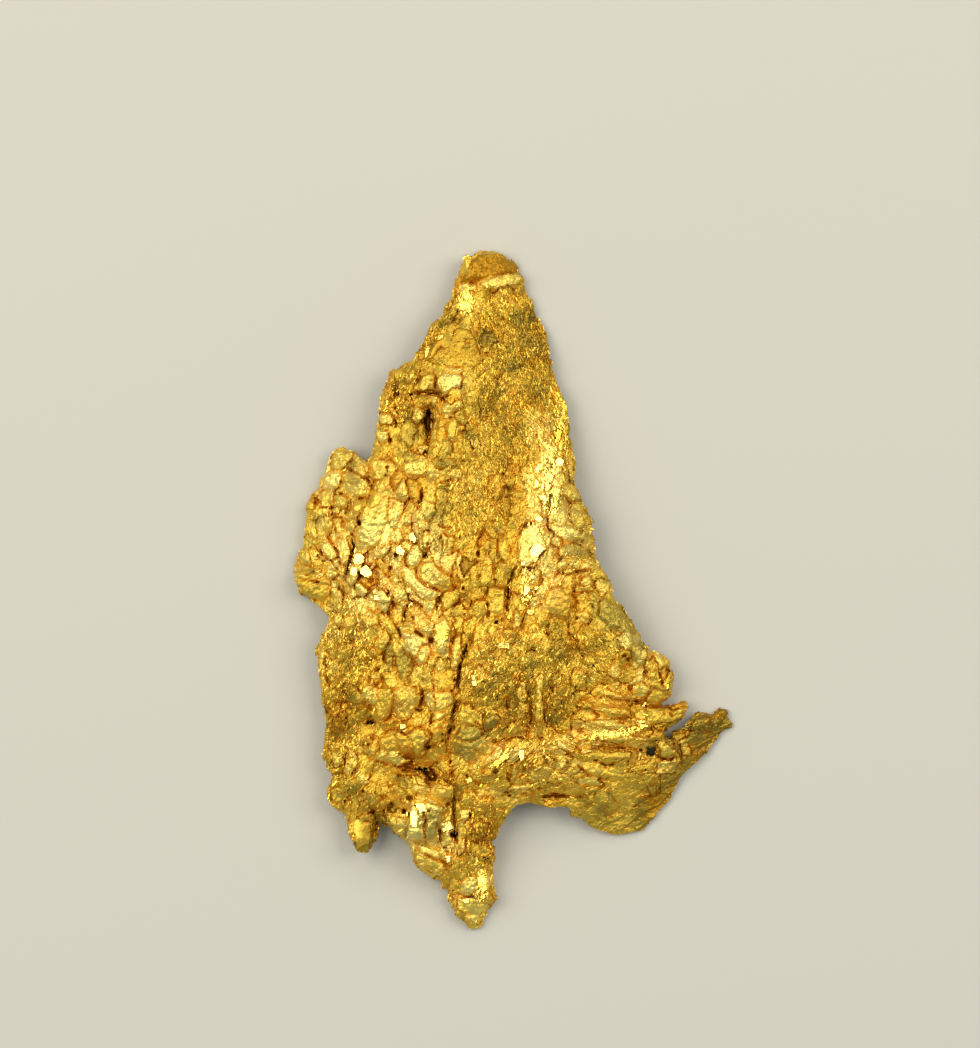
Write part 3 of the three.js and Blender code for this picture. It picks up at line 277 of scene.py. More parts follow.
    (0.14, 12, 2, 0.9, 0, 0, [-2.65, 15.3, -2.6, 14.9, -1.95, 14.9, -2.2, 15.3]),
    # upper middle
    (0.16, -4, 0, 0.6, 0.5, 0, [-1.15, 5.3, -1.1, 4.6, -0.7, 4.55, -0.6, 5, -0.7, 5.8, -1, 5.85]),
    (0, -2, -8, 0.3, -0.6, 0, [-0.45, 5, -0.4, 4.7, 0, 4.55, 0.5, 4.55, 0.45, 4.9, 0.1, 5]),
    (-0.12, -6, -6, 0.1, -0.9, 0, [-2.5, 7.75, -2.3, 7.15, -2, 7.1, -2.05, 7.5]),
    (0.2, 14, 4, 0.9, 0, 0, [-2.02, 7.6, -1.85, 7, -1.75, 7, -1.9, 7.55]),
    # bright ridge on the right
    (0.3, 18, 4, 1, 0, 1, [2.1, 6.5, 2.2, 6.2, 2.4, 6.2, 2.5, 6.45, 2.25, 6.6]),
    (0.28, 17, 4, 1, 0, 0.9, [1.55, 5.6, 1.6, 5.35, 1.9, 5.45, 1.9, 5.75, 1.65, 5.8]),
    (0.26, 17, 4, 1, 0, 0.9, [1, 5.1, 1.2, 5.15, 1.25, 5.45, 1.05, 5.5]),
    (0.26, 17, 4, 1, 0, 0.8, [1.6, 5.05, 1.75, 5.1, 1.75, 5.35, 1.6, 5.3]),
    (0.26, 17, 4, 1, 0, 0.8, [1.2, 4.75, 1.45, 4.3, 1.65, 4.35, 1.7, 4.75]),
    (0.26, 17, 4, 1, 0, 0.7, [1.15, 5.95, 1.45, 6, 1.4, 6.3, 1.15, 6.3]),
    (0.26, 16, 4, 1, 0, 0.8, [2, 7.95, 2.1, 7.6, 2.3, 7.6, 2.35, 7.9]),
    (0.26, 17, 4, 1, 0, 0.8, [1.1, 3.65, 1.2, 3.4, 1.4, 3.45, 1.35, 3.65]),
    (0.22, 12, 2, 1, 0, 0.1, [1.9, 5.95, 2, 5.75, 2.4, 5.85, 2.45, 6.15, 2.1, 6.15]),
    (0.14, -6, 0, 0.75, 0, 0, [2, 5.35, 2.4, 5.2, 2.6, 5.5, 2.35, 5.8, 2.05, 5.85]),
    (0.2, -6, 0, 0.75, 0, 0, [2.7, 5.9, 2.85, 5.65, 3, 5.8, 2.95, 6.2, 2.75, 6.35]),
    (0.16, -4, 2, 0.7, -0.1, 0, [2.1, 5, 2.4, 4.75, 2.9, 4.6, 3.4, 4.5, 3.2, 4.9, 2.7, 5.15]),
    (0.2, 14, 2, 1, 0, 0.5, [1.9, 4.2, 2.1, 4.2, 2.15, 4.45, 1.9, 4.4]),
    (0.1, -6, 0, 0.7, -0.2, 0, [1.9, 3.6, 2.2, 3.3, 2.7, 3.4, 2.6, 4.1, 2.05, 4]),
    (0.12, -8, 0, 0.9, -0.1, 0, [2, 2.7, 2.6, 2.5, 3.3, 2.6, 3.3, 3.1, 2, 3.2]),
    # raised plate beside the long crack
    (0.3, 8, 2, 1, 0, 0.05, [0.1, 2.2, 0.2, 1.5, 0.6, 1.2, 1.05, 1.6, 1.6, 2.1, 1.55, 2.6, 1.2, 3.15,
     0.8, 3.3, 0.3, 3]),
    (0.34, 18, 4, 1, 0, 1, [0.75, 2.1, 0.8, 1.7, 1.1, 1.65, 1.6, 2.05, 1.2, 2.35]),
    (0.3, 17, 4, 1, 0, 0.9, [0.3, 1.4, 0.35, 1.25, 0.55, 1.3, 0.5, 1.42]),
    (0.26, 17, 4, 1, 0, 0.9, [0.35, 0.3, 0.55, 0.35, 0.52, 0.7, 0.4, 0.75]),
    (0.28, 18, 4, 1, 0, 1, [0.42, -0.1, 0.5, -0.3, 0.72, -0.1, 0.75, 0.2, 0.45, 0.3]),
    (0.26, 17, 4, 1, 0, 0.8, [0.95, 0, 1.15, 0, 1.2, 0.15, 0.95, 0.2]),
    (0.26, 17, 4, 1, 0, 0.8, [0.75, 0.8, 0.8, 0.62, 1, 0.65, 1, 0.8]),
    (0.24, 6, -2, 0.75, -0.15, 0, [-0.2, -1.1, -0.15, -1.5, 0, -1.85, 0.3, -1.9, 0.42, -1.4, 0.25, -1.05]),
    (0.04, -4, -4, 0.4, 0.6, 0, [-0.6, -1.3, -0.5, -1.95, -0.1, -1.9, -0.25, -1.3]),
    (0.2, 14, 2, 1, 0, 0.5, [0.6, -1, 0.7, -1.2, 0.95, -1.15, 0.95, -0.95]),
    (0.2, 12, 0, 0.95, 0, 0.1, [0.75, -0.75, 0.95, -0.85, 1, -0.5, 0.85, -0.4]),
    (0.2, 10, 8, 1, 0, 0.4, [-0.9, -2.6, -0.8, -2.85, -0.2, -2.9, -0.3, -2.6]),
    (0.16, 4, 0, 0.5, -0.1, 0, [-1.2, -0.1, -1.15, -1.1, -0.7, -1.2, -0.45, -0.8, -0.6, 0]),
    # right flank
    (0.2, 2, 0, 0.62, 0.25, 0, [1.65, -0.7, 1.9, -1.4, 2.5, -1.5, 2.85, -0.9, 2.85, -0.1, 2.3, 0.05,
     1.8, 0]),
    (0.26, -8, 0, 0.9, 0, 0, [3.35, 1.1, 3.7, 1.05, 3.9, 1.2, 3.85, 1.5, 3.45, 1.5]),
    (0.2, -6, 0, 0.75, 0.2, 0, [2.75, 1.05, 3.3, 1.15, 3.35, 1.65, 2.75, 1.6]),
    (0.18, -6, 0, 0.75, 0, 0, [2, 1.45, 2.1, 1, 2.6, 1.15, 2.6, 1.5]),
    (0.26, 4, 4, 0.9, -0.3, 0, [2.75, 0.2, 2.95, 0.05, 3.15, 0.45, 3.1, 0.75, 2.75, 0.55]),
    (0.2, -6, 0, 0.75, -0.15, 0, [3.35, 0.4, 3.5, 0.15, 3.95, 0.15, 3.9, 0.7, 3.4, 0.7]),
    (0.16, -6, 0, 0.75, -0.1, 0, [4, 0.7, 4.1, 0.05, 4.5, -0.3, 4.85, -0.1, 4.85, 0.35, 4.4, 0.65]),
    (0.1, -2, 0, 0.62, -0.7, 0, [4.15, -1.3, 5.6, -2.2, 6, -2.2, 5.6, -1.3, 5, -0.6, 4.55, -0.5, 4.3,
     -0.8]),
    (0.2, -2, 4, 1, -0.2, 0, [5.35, -2.8, 5.5, -3.1, 6.3, -2.5, 5.95, -2.15, 5.5, -1.9]),
    (0.2, 4, 2, 0.75, 0.3, 0, [3.1, -1.6, 3.5, -1.65, 3.9, -1.4, 3.6, -1, 3.1, -1.1]),
    # right lobe
    (0.3, 8, 2, 0.9, -0.05, 0, [4.65, -4.3, 5, -4.45, 5.35, -4.25, 5.3, -3.95, 5, -3.65, 4.65, -3.85]),
    (0.22, -2, 0, 0.8, -0.3, 0, [5.95, -2.8, 6, -3.7, 6.4, -3.7, 6.75, -3.35, 6.85, -3.15, 6.3, -2.8]),
    (0.26, 2, 4, 0.9, 0, 0, [6.9, -3.25, 7, -3.6, 7.4, -3.85, 7.75, -4, 7.65, -3.65, 7.15, -3.2]),
    (0.22, -4, 0, 0.75, 0.1, 0, [7.55, -4.7, 7.6, -5.2, 7.9, -5.1, 7.95, -4.6, 7.8, -4.15, 7.6, -4.15]),
    (0.3, 17, 4, 1, 0, 0.9, [7.63, -5, 7.73, -5, 7.73, -4.72, 7.63, -4.7]),
    (0.22, 4, 2, 0.65, 0, 0, [6.55, -4.5, 6.9, -4.85, 7.3, -4.85, 7.35, -4.5, 6.95, -4, 6.6, -4.1]),
    (0.22, 8, 4, 0.9, -0.1, 0, [5.85, -4.7, 6.2, -4.6, 6.48, -4.3, 6.4, -4, 5.9, -4.45]),
    (0.2, 6, 4, 0.85, 0, 0, [5.8, -5.3, 6.1, -5.5, 6.6, -5.3, 6.7, -4.9, 6.3, -4.65, 5.95, -4.9]),
    (0.22, 4, 2, 0.75, 0.05, 0, [6.7, -5.5, 7.1, -5.65, 7.55, -5.45, 7.5, -5.1, 6.75, -5.05]),
    (0.3, 14, 6, 1, 0, 0.8, [6.35, -5.8, 6.5, -5.82, 6.62, -5.62, 6.55, -5.58]),
    # the fan of ridges and what meets it
    (0.2, 0, 4, 0.6, 0.1, 0, [7.4, -6.6, 8, -6.75, 8.4, -6.5, 8.6, -5.8, 7.6, -6.1]),
    (0.2, 2, 4, 0.6, 0.1, 0, [6.6, -6, 6.7, -6.6, 7.3, -6.6, 7.6, -6]),
    (0.24, 10, 10, 1, 0, 0.5, [6.15, -6.5, 6.2, -6.85, 6.65, -6.8, 6.55, -6.5]),
    (0.3, 8, 2, 0.85, -0.1, 0, [7.15, -7.75, 7.35, -8.3, 7.75, -8.35, 8, -8.05, 7.9, -7.7, 7.45, -7.5]),
    (0.2, 6, 10, 1, 0, 0.2, [5.9, -8.45, 6, -8.75, 6.4, -8.55, 6.3, -8.3]),
    (0.16, 6, 10, 1, -0.2, 0.2, [7.2, -8.7, 7.4, -8.8, 7.75, -8.65, 7.5, -8.6]),
    (0.12, 6, 6, 0.85, -0.3, 0, [8.15, -7.75, 8.5, -7.85, 8.85, -7.5, 8.6, -7.35, 8.2, -7.5]),
    (0.22, 6, 8, 0.9, 0, 0, [1.9, -7.35, 2.2, -7.8, 2.85, -8.1, 2.95, -7.95, 2.3, -7.5]),
    (0.26, 6, 10, 1, 0, 0.05, [3.05, -8.2, 3.3, -8.3, 4.2, -8, 4.5, -7.75, 4.3, -7.6, 3.4, -7.9]),
    (0.2, 2, 8, 0.9, 0, 0, [3.2, -7.6, 3.4, -7.8, 4.2, -7.6, 4.3, -7.45, 3.7, -7.5]),
    (0.26, 12, 8, 1, 0, 0.4, [1.2, -8.05, 1.75, -8.5, 1.85, -8.4, 1.4, -8]),
    (0.18, 8, 2, 0.9, -0.1, 0, [2, -8.7, 2.3, -8.9, 2.75, -8.6, 2.6, -8.2, 2.1, -8.3]),
    (0.2, 2, 2, 0.7, 0.15, 0, [2.55, -9, 2.8, -9.3, 3.15, -9, 3.25, -8.6, 3.1, -8.3]),
    (0.14, 0, 2, 0.55, 0.1, 0, [3.5, -8.65, 3.6, -9, 4.2, -9.3, 4.5, -9, 4.2, -8.7]),
    (0.16, 4, 4, 0.75, -0.1, 0, [3.2, -9.3, 3.3, -9.8, 4.1, -9.6, 3.8, -9.3]),
    # lower middle
    (0.32, 4, 0, 0.75, 0, 0, [1.05, -6.45, 1.42, -6.45, 1.45, -4.3, 1.05, -4.3]),
    (0.2, 6, 2, 0.75, 0, 0, [0.2, -5.8, 0.3, -6.4, 0.62, -6.3, 0.6, -4.4, 0.2, -4.4]),
    (-0.02, 0, -2, 0.3, -0.95, 0, [-1.5, -6.5, -1.3, -6.95, -0.9, -6.9, -0.7, -6.4, -1.1, -6.05, -1.45,
     -6.1]),
    (-0.12, 0, -6, 0.12, -1, 0, [-0.4, -5.5, -0.35, -5.85, -0.1, -5.75, -0.1, -5.5]),
    (-0.12, 0, -6, 0.12, -1, 0, [1.75, -4.75, 1.85, -5.2, 1.98, -5.2, 2.05, -4.75]),
    (-0.1, 0, -6, 0.15, -1, 0, [0.6, -4.95, 0.68, -5.35, 0.8, -5.3, 0.75, -4.95]),
    (0.04, 2, -2, 0.45, -0.75, 0, [-2.9, -7.3, -2.6, -7.5, -1.75, -7.45, -1.6, -7.2, -1.95, -6.7, -2.5,
     -6.8]),
    (0.04, 3, -2, 0.5, -0.6, 0, [-2.9, -8, -2.7, -8.4, -2.2, -8.6, -1.9, -8.1, -2.1, -7.6, -2.9, -7.6]),
    (0.04, 2, 0, 0.5, 0.6, 0, [-1.85, -7.9, -1.7, -8.2, -1.2, -8.2, -1, -7.8, -1.3, -7.5, -1.8, -7.6]),
    (0.24, 10, 6, 1, 0, 0, [-1.55, -8.6, -0.9, -8.5, -0.35, -7.85, -0.6, -7.75, -1.5, -8.4]),
    (0.26, 12, 6, 1, 0, 0.1, [-1.45, -8.9, -0.6, -8.7, 0, -7.9, -0.3, -7.9]),
    (0.24, 12, 4, 1, 0, 0.1, [-0.5, -8.7, 0.1, -8.6, 0.2, -8.1, 0, -8.1]),
    (0.3, 18, 4, 1, 0, 1, [0.25, -8, 0.28, -8.4, 0.4, -8.5, 0.5, -8.2, 0.45, -7.95]),
    (0.26, 10, 4, 1, 0, 0.3, [-2.4, -9.4, -2.3, -9.6, -2.1, -9.5, -2.15, -9.3]),
    (0.2, 6, 4, 0.85, 0, 0, [-0.3, -9.9, 0, -10, 0.8, -9.95, 0.9, -9.7, 0.3, -9.7]),
    (0.14, 4, 0, 0.6, -0.35, 0, [-0.2, -8.85, -0.15, -9.5, 0.2, -9.4, 0.2, -8.8]),
    (0.14, 2, 0, 0.6, -0.3, 0, [0.75, -9.2, 0.8, -9.6, 1.4, -9.5, 1.9, -8.9, 1.5, -8.6]),
    (-0.1, 0, -6, 0.2, -1, 0, [-1.35, -9.15, -0.9, -9.15, -0.8, -8.95, -1.2, -9]),
    (0.26, 8, 2, 0.9, 0, 0, [-3.95, -3.1, -3.6, -3.4, -3.3, -3, -3.1, -2.6, -3.15, -1.8, -3.4, -1.35,
     -3.95, -1.5]),
    (0.22, 6, 0, 0.8, 0, 0, [-3.1, -3.9, -2.85, -3.9, -2.65, -2.9, -2.7, -2.3, -3, -2.3, -3.1, -3]),
    (0.26, 10, 0, 0.95, 0, 0, [-4.5, -5.05, -4.45, -5.95, -4.05, -6, -3.85, -5.5, -4.1, -5.1]),
    (0.2, 5, 0, 0.65, 0.2, 0, [-4.05, -5.1, -3.95, -6, -3.35, -6, -3.05, -5.6, -3.05, -5.1, -3.4, -5]),
    (0.04, -2, -2, 0.45, 0.5, 0, [-4.1, -4.6, -3.8, -4.95, -3.05, -4.9, -2.95, -4.4, -3.1, -4.05, -4.1,
     -4.1]),
    (0.2, 8, 0, 0.85, 0, 0, [-3.95, -6.1, -3.9, -6.5, -3.4, -6.4, -3.45, -6.05]),
    (0.14, 4, 0, 0.6, 0.35, 0, [-3.45, -6.6, -3.1, -6.6, -3.1, -6.1, -3.4, -6]),
    (0.12, 3, 0, 0.55, 0, 0, [-2.85, -5.9, -2.8, -6.5, -2.4, -6.6, -1.75, -6.7, -1.7, -6.1, -2.3, -5.8]),
    (0.26, 18, 4, 1, 0, 1, [-2.1, -4.5, -2.08, -4.75, -1.88, -4.7, -1.9, -4.5]),
    (0.26, 17, 4, 1, 0, 0.7, [-2.15, -4.2, -2.1, -4.4, -1.97, -4.38, -2, -4.2]),
    (-0.05, -4, 0, 0.3, -0.8, 0, [-3.6, -3.5, -3.5, -3.95, -3.15, -3.9, -3.2, -3.5]),
    (0.24, 16, 2, 1, 0, 0.6, [-1.05, -5.1, -1, -5.35, -0.88, -5.35, -0.9, -5.1]),
    # lower left
    (0.18, 10, 0, 0.75, 0, 0, [-9.87, -2.95, -9.7, -4.8, -9.5, -5.2, -9.45, -4.5, -9.5, -3.1]),
    (0.16, 8, 0, 0.75, 0, 0, [-9.1, -1.2, -9.05, -1.6, -8.75, -1.75, -8.5, -1.4, -8.7, -1.1]),
    (0.14, 3, 0, 0.5, 0.3, 0, [-8.5, -1.8, -8.2, -1.95, -7.8, -1.7, -7.9, -1.3, -8.5, -1.3]),
    (0.1, 8, 2, 0.75, 0, 0, [-7.2, -4.45, -6.95, -4.55, -6.75, -4.4, -6.8, -4.2, -7, -4.15, -7.2, -4.2]),
    (0.04, 2, 0, 0.4, -0.7, 0, [-6.45, -3.2, -6.4, -4, -6.2, -4, -6.1, -3.3, -6.05, -2.5, -6.35, -2.6]),
    (0.06, 2, 0, 0.5, -0.6, 0, [-5.9, -3.7, -5.75, -4.2, -5.4, -4.5, -5.15, -4, -5.3, -3.5, -5.6, -3,
     -5.85, -3.2]),
    (0.32, 8, 2, 0.95, 0, 0, [-5.6, -2, -5.4, -2.6, -5.1, -3.2, -4.85, -3.35, -4.5, -2.5, -4.75, -2.25,
     -5.2, -2.05]),
    (0.22, 6, 4, 0.75, -0.1, 0, [-5.75, -1.75, -5.6, -2, -5.05, -2, -5.1, -1.75, -5.5, -1.62]),
    (0.32, 8, 0, 0.92, 0, 0, [-4.72, -1.7, -4.7, -1.95, -4.5, -2.2, -4.2, -2.25, -4.05, -2, -4.1, -1.7,
     -4.4, -1.55]),
    (0.26, 9, 0, 0.9, 0, 0, [-4.85, -3.5, -4.6, -3.7, -4.35, -3.5, -4.4, -3, -4.6, -2.65, -4.75, -2.9]),
    (-0.05, 2, -4, 0.5, 0.6, 0, [-5.35, -0.95, -5.3, -1.3, -5, -1.45, -4.7, -1.2, -4.75, -0.75, -5.05,
     -0.6]),
    (0.22, 7, 0, 0.8, 0, 0, [-7.6, -5.2, -7.3, -5.6, -6.95, -5.9, -6.8, -5.4, -6.95, -4.85, -7.3,
     -4.65, -7.6, -4.8]),
    (0.24, 3, -2, 0.5, 0.3, 0, [-6.95, -6.2, -6.7, -6.45, -6.35, -6.35, -6.1, -5.9, -6.05, -5.4, -6.2,
     -4.9, -6.85, -5]),
    (0.24, 5, 0, 0.65, 0.25, 0, [-6.05, -5, -6, -5.8, -5.9, -6.4, -5.3, -6.4, -4.7, -5.6, -4.75, -5.1,
     -4.95, -4.9, -5.4, -4.9]),
    (0.14, 3, 0, 0.55, 0.3, 0, [-6.55, -4.1, -6.5, -4.8, -5.9, -4.85, -5.6, -4.6, -6, -4.2]),
    (0.3, 16, 2, 1, 0, 0.7, [-5.65, -6.9, -5.5, -7.05, -5.3, -6.95, -5.45, -6.68, -5.65, -6.65]),
    (0.16, 2, 0, 0.4, -0.3, 0, [-9.5, -8.1, -9.45, -8.6, -9.25, -8.8, -9.1, -8.5, -9.2, -8]),
    (0.2, 8, 0, 0.8, -0.1, 0, [-9.15, -8.5, -9, -8.8, -8.6, -8.7, -8.55, -8.3, -8.7, -8.05, -9.1, -8.05]),
    (0.26, 12, 0, 0.95, 0, 0, [-8.3, -7.95, -8.2, -8.4, -8, -8.35, -8.1, -8]),
    (0.24, 8, 0, 0.85, 0, 0, [-8.55, -8.95, -8.4, -9.2, -8.05, -9.05, -7.85, -8.7, -8.05, -8.45, -8.4,
     -8.55]),
    (0.22, 9, 0, 0.9, 0, 0, [-8.15, -9.4, -8, -9.6, -7.5, -9.6, -7.35, -9.3, -7.4, -8.95, -7.75, -8.85]),
    (0.16, 5, 0, 0.7, 0.1, 0, [-7, -8.45, -6.5, -8.6, -6.3, -8.5, -6.4, -8.1, -7, -8.1]),
    (0.22, 5, -2, 0.6, -0.4, 0, [-5.2, -7.2, -5.1, -7.8, -4.8, -8.1, -4.45, -7.7, -4.3, -7.2, -4.5,
     -6.75, -5, -6.8]),
    (0.27, 14, 0, 1, 0, 0.2, [-4.45, -7.25, -4.4, -7.55, -4.22, -7.45, -4.3, -7.15]),
    (0.12, 2, 0, 0.5, 0.35, 0, [-6.6, -7.8, -6.3, -8, -5.6, -8, -5.2, -7.8, -5.4, -7.3, -5.9, -7.1,
     -6.6, -7.3]),
    (0.2, 5, 4, 0.85, -0.5, 0, [-6.3, -8.5, -6, -8.75, -5.6, -8.6, -5.5, -8.2, -5.8, -8.05, -6.2, -8.15]),
    (0.14, -2, -2, 0.35, -0.5, 0, [-5.8, -9.9, -5.25, -10, -5.05, -9.6, -5.2, -9.1, -5.7, -9.3]),
    (0.26, 6, 0, 0.75, 0, 0, [-5.15, -9.9, -4.9, -10.1, -4.35, -9.9, -4.4, -9.6, -4.8, -9.1, -5, -9.2]),
    (0.22, 12, 2, 1, 0, 0.1, [-4, -7.6, -3.9, -7.95, -3.65, -7.85, -3.75, -7.6]),
    (0.16, 3, -2, 0.55, 0.3, 0, [-4.5, -8.6, -4, -8.75, -3.7, -8.4, -3.9, -8, -4.5, -8.05]),
    (0.16, 4, 0, 0.5, -0.1, 0, [-9.25, -10.4, -8.9, -10.7, -8.55, -10.6, -8.5, -10.2, -8.9, -9.8,
     -9.25, -9.8]),
    # spikes
    (0.36, 18, 4, 1, 0, 1, [-4.9, -10.65, -4.8, -11.05, -4.35, -10.95, -4.45, -10.6]),
    (0.34, 18, 0, 1, 0, 1, [-5.2, -11.05, -5.1, -11.75, -4.85, -11.75, -4.8, -10.95]),
    (0.3, 15, 0, 1, 0, 0.7, [-5.4, -11.1, -5.35, -11.3, -5.15, -11.25, -5.15, -11.05]),
    (0.22, 5, 0, 0.9, -0.25, 0, [-5.6, -12.4, -4.9, -12.7, -4.5, -12.5, -4.6, -11, -5.35, -11.3, -5.5,
     -11.9]),
    (0.24, 3, 0, 0.65, -0.6, 0, [-4.4, -12.6, -4, -12.6, -3.8, -11.6, -3.7, -11.1, -4.4, -11]),
    (0.3, 9, 4, 0.95, -0.1, 0.1, [-4.6, -10.6, -4.4, -10.95, -3.7, -11.05, -3.6, -10.9, -4.2, -10.5]),
    (0.32, 14, 4, 1, 0, 0.5, [-3.6, -11.65, -3.5, -12.05, -3.1, -12.05, -3, -11.85, -3.2, -11.55]),
    (0.36, 18, 4, 1, 0, 1, [-3.5, -11.75, -3.45, -11.93, -3.15, -11.9, -3.2, -11.75]),
    (0.2, 8, 0, 0.85, 0, 0, [-3.55, -12.1, -3.5, -12.7, -3.05, -12.6, -3.15, -12.15]),
    (0.2, 5, 0, 0.65, 0.05, 0, [-6.3, -11.7, -5.8, -12.2, -5.4, -12.1, -5.3, -11.55, -5.7, -11.3,
     -6.15, -11.25]),
    (0.2, 5, 0, 0.62, 0.15, 0, [-5, -13.5, -4.6, -14.1, -4.1, -14.5, -3.7, -14.45, -3.4, -13.95, -3.7,
     -13.6, -4.4, -13.2, -5, -12.95]),
    (0.22, 8, 0, 0.8, 0, 0, [-5, -12.6, -4.95, -12.85, -3.8, -13.5, -3.6, -13.3, -3.9, -12.8]),
    (0.28, 16, 2, 1, 0, 0.8, [-3.4, -13.25, -3.35, -13.6, -3.2, -13.55, -3.2, -13.3]),
    (0.2, 8, 0, 0.9, 0, 0, [-2.85, -11, -2.7, -11.5, -2.3, -11.4, -2.25, -11.05]),
    (0.2, 11, 0, 0.95, 0, 0, [-2.75, -12.5, -2.7, -13.25, -2.4, -13.2, -2.45, -12.5]),
    (0.18, 3, 0, 0.55, 0.2, 0, [-2.2, -12.65, -2.1, -13.1, -1.7, -13.4, -1.2, -13.35, -1.1, -12.95,
     -1.5, -12.7]),
    (0.22, 12, 2, 1, 0, 0.2, [-1.8, -14.5, -1.6, -15.05, -1.35, -15.1, -1.2, -14.6, -1.35, -14, -1.75,
     -14]),
    (0.2, 8, 0, 0.9, 0, 0, [-2.8, -15.1, -2.3, -15.25, -1.85, -15, -2, -14.4, -2.7, -14.5]),
    (0.22, 15, 4, 1, 0, 0.5, [-2.6, -15.45, -2.5, -15.65, -2.25, -15.65, -2.25, -15.45]),
    (0.12, 5, 0, 0.65, 0, 0, [-3.05, -15.3, -2.9, -16, -2.4, -16.2, -1.5, -16.2, -1.4, -15.6]),
    (0.14, 7, -2, 0.8, 0, 0, [-2.6, -16.3, -2.2, -16.85, -1.8, -16.9, -1.5, -16.5, -1.9, -16.3]),
    (0.24, 6, 0, 0.7, 0.2, 0, [-4, -10.3, -3.6, -10.5, -3.2, -10.3, -3.2, -9.8, -3.6, -9.6, -4, -9.9]),
]

# Blocky crystals that stand out: x, y, length, width, turn in degrees, rise, lean in degrees.
CRYSTALS = [
    (-3.5, 13.4, 0.8, 0.4, 57, 0.2, 10), (-3, 14.1, 0.8, 0.45, 60, 0.2, 8),
    (-5.5, 10.7, 0.9, 0.7, 20, 0.2, -8), (-5.2, 10, 0.5, 0.4, 0, 0.16, 10),
    (-5.4, 9.3, 0.6, 0.5, 80, 0.18, -6), (-6.3, 9.8, 0.6, 0.5, 80, 0.16, 12),
    (-6.6, 5.2, 0.9, 0.8, 60, 0.1, 6), (-7.9, 5.8, 0.9, 0.6, 42, 0.2, 8),
    (-9.4, 3.4, 0.9, 0.8, 20, 0.18, 8), (-8.3, 3.7, 0.7, 0.5, 80, 0.16, -6),
    (-10.3, 0.95, 1.3, 0.28, -4, 0.2, 10), (-9.9, 5, 0.5, 0.4, 0, 0.14, 0),
    (-6.5, 2, 0.7, 0.55, 30, 0.2, 10), (-4.1, -3.6, 0.7, 0.5, 40, 0.2, 10),
    (-4.4, 2.4, 0.8, 0.5, 80, 0.18, 10), (-3.3, 2.2, 0.9, 0.6, 70, 0.14, -6),
    (-1.4, 0.8, 1.3, 0.75, 84, 0.18, 6), (-1.8, -0.9, 1, 0.7, 70, 0.2, 4), (-0.5, 2, 1, 0.6, 85, 0.14, 4),
    (1.4, -1.4, 0.9, 0.7, 50, 0.18, 8), (3, -1.9, 0.9, 0.6, 30, 0.18, -6),
    (-1.5, 2.3, 0.9, 0.6, 90, 0.08, 0), (3.6, -2.5, 1, 0.75, 50, 0.2, 8),
    (4.7, -5.1, 1.5, 0.5, -18, 0.2, 6), (4.5, -5.9, 2.8, 0.42, -11, 0.22, 4),
    (5, -6.65, 2.9, 0.42, -4, 0.22, -4), (5, -7.35, 2.8, 0.44, -2, 0.24, 6),
    (4.5, -8.25, 3, 0.42, -3, 0.22, 8), (7.1, -7.25, 0.9, 0.48, 20, 0.2, 2),
    (9.4, -6.65, 1, 0.6, 15, 0.14, 4), (5.5, -3.4, 0.8, 0.6, 40, 0.2, -8),
    (5.6, -4.3, 0.7, 0.5, 10, 0.2, 10), (3.9, -3.4, 0.8, 0.6, 30, 0.2, 4),
    (10.5, -6.35, 0.5, 0.45, 60, 0.16, 0), (2.15, -5, 1.7, 0.7, 88, 0.18, 2),
    (3.3, -4.4, 1.1, 0.8, 70, 0.2, -6), (1.2, -8.3, 1.1, 0.55, 80, 0.22, 6),
    (-1.7, -4.4, 1.2, 0.8, 75, 0.22, 6), (-0.5, -3.6, 1, 0.8, 60, 0.18, -4),
    (0.8, -3.4, 0.9, 0.8, 30, 0.18, 8), (2.2, -2.9, 0.9, 0.8, 50, 0.1, 0),
    (-1.4, -2.8, 0.9, 0.7, 70, 0.2, 8), (0, -6.9, 1, 0.55, 10, 0.16, 6),
    (0.9, -7.2, 0.7, 0.5, 70, 0.16, -4), (-0.3, -2.3, 0.8, 0.6, 60, 0.18, 6),
    (-7.2, -1.4, 1, 0.8, -20, 0.18, 8), (-6.6, -2.6, 0.9, 0.65, 80, 0.16, 4),
    (-8.5, -3.1, 0.9, 0.7, 60, 0.14, -4), (-7.4, -3.3, 0.9, 0.65, 20, 0.14, 8),
    (-8.7, -6.6, 0.9, 0.85, 80, 0.18, 6), (-8.1, -9.7, 1.1, 0.8, 20, 0.2, 4),
    (-7.4, -8.7, 0.9, 0.8, 60, 0.18, 6), (-7.1, -10.4, 1, 0.6, 80, 0.2, 4),
    (-3.9, -7.2, 1, 0.55, 80, 0.16, 4), (-7.7, -7.4, 0.7, 0.5, 40, 0.14, 8),
    (-8.5, -5.4, 0.7, 0.6, 40, 0.14, -4), (-1.7, -11.9, 0.9, 0.8, 80, 0.24, 0),
    (-1.5, -15.4, 1, 0.36, -6, 0.24, 6), (-7.6, -12.1, 1.9, 0.85, 80, 0.16, 0),
    (-1.5, -10.8, 1, 0.8, 40, 0.2, 0), (-2.4, -10.4, 0.9, 0.55, 85, 0.18, 4),
]

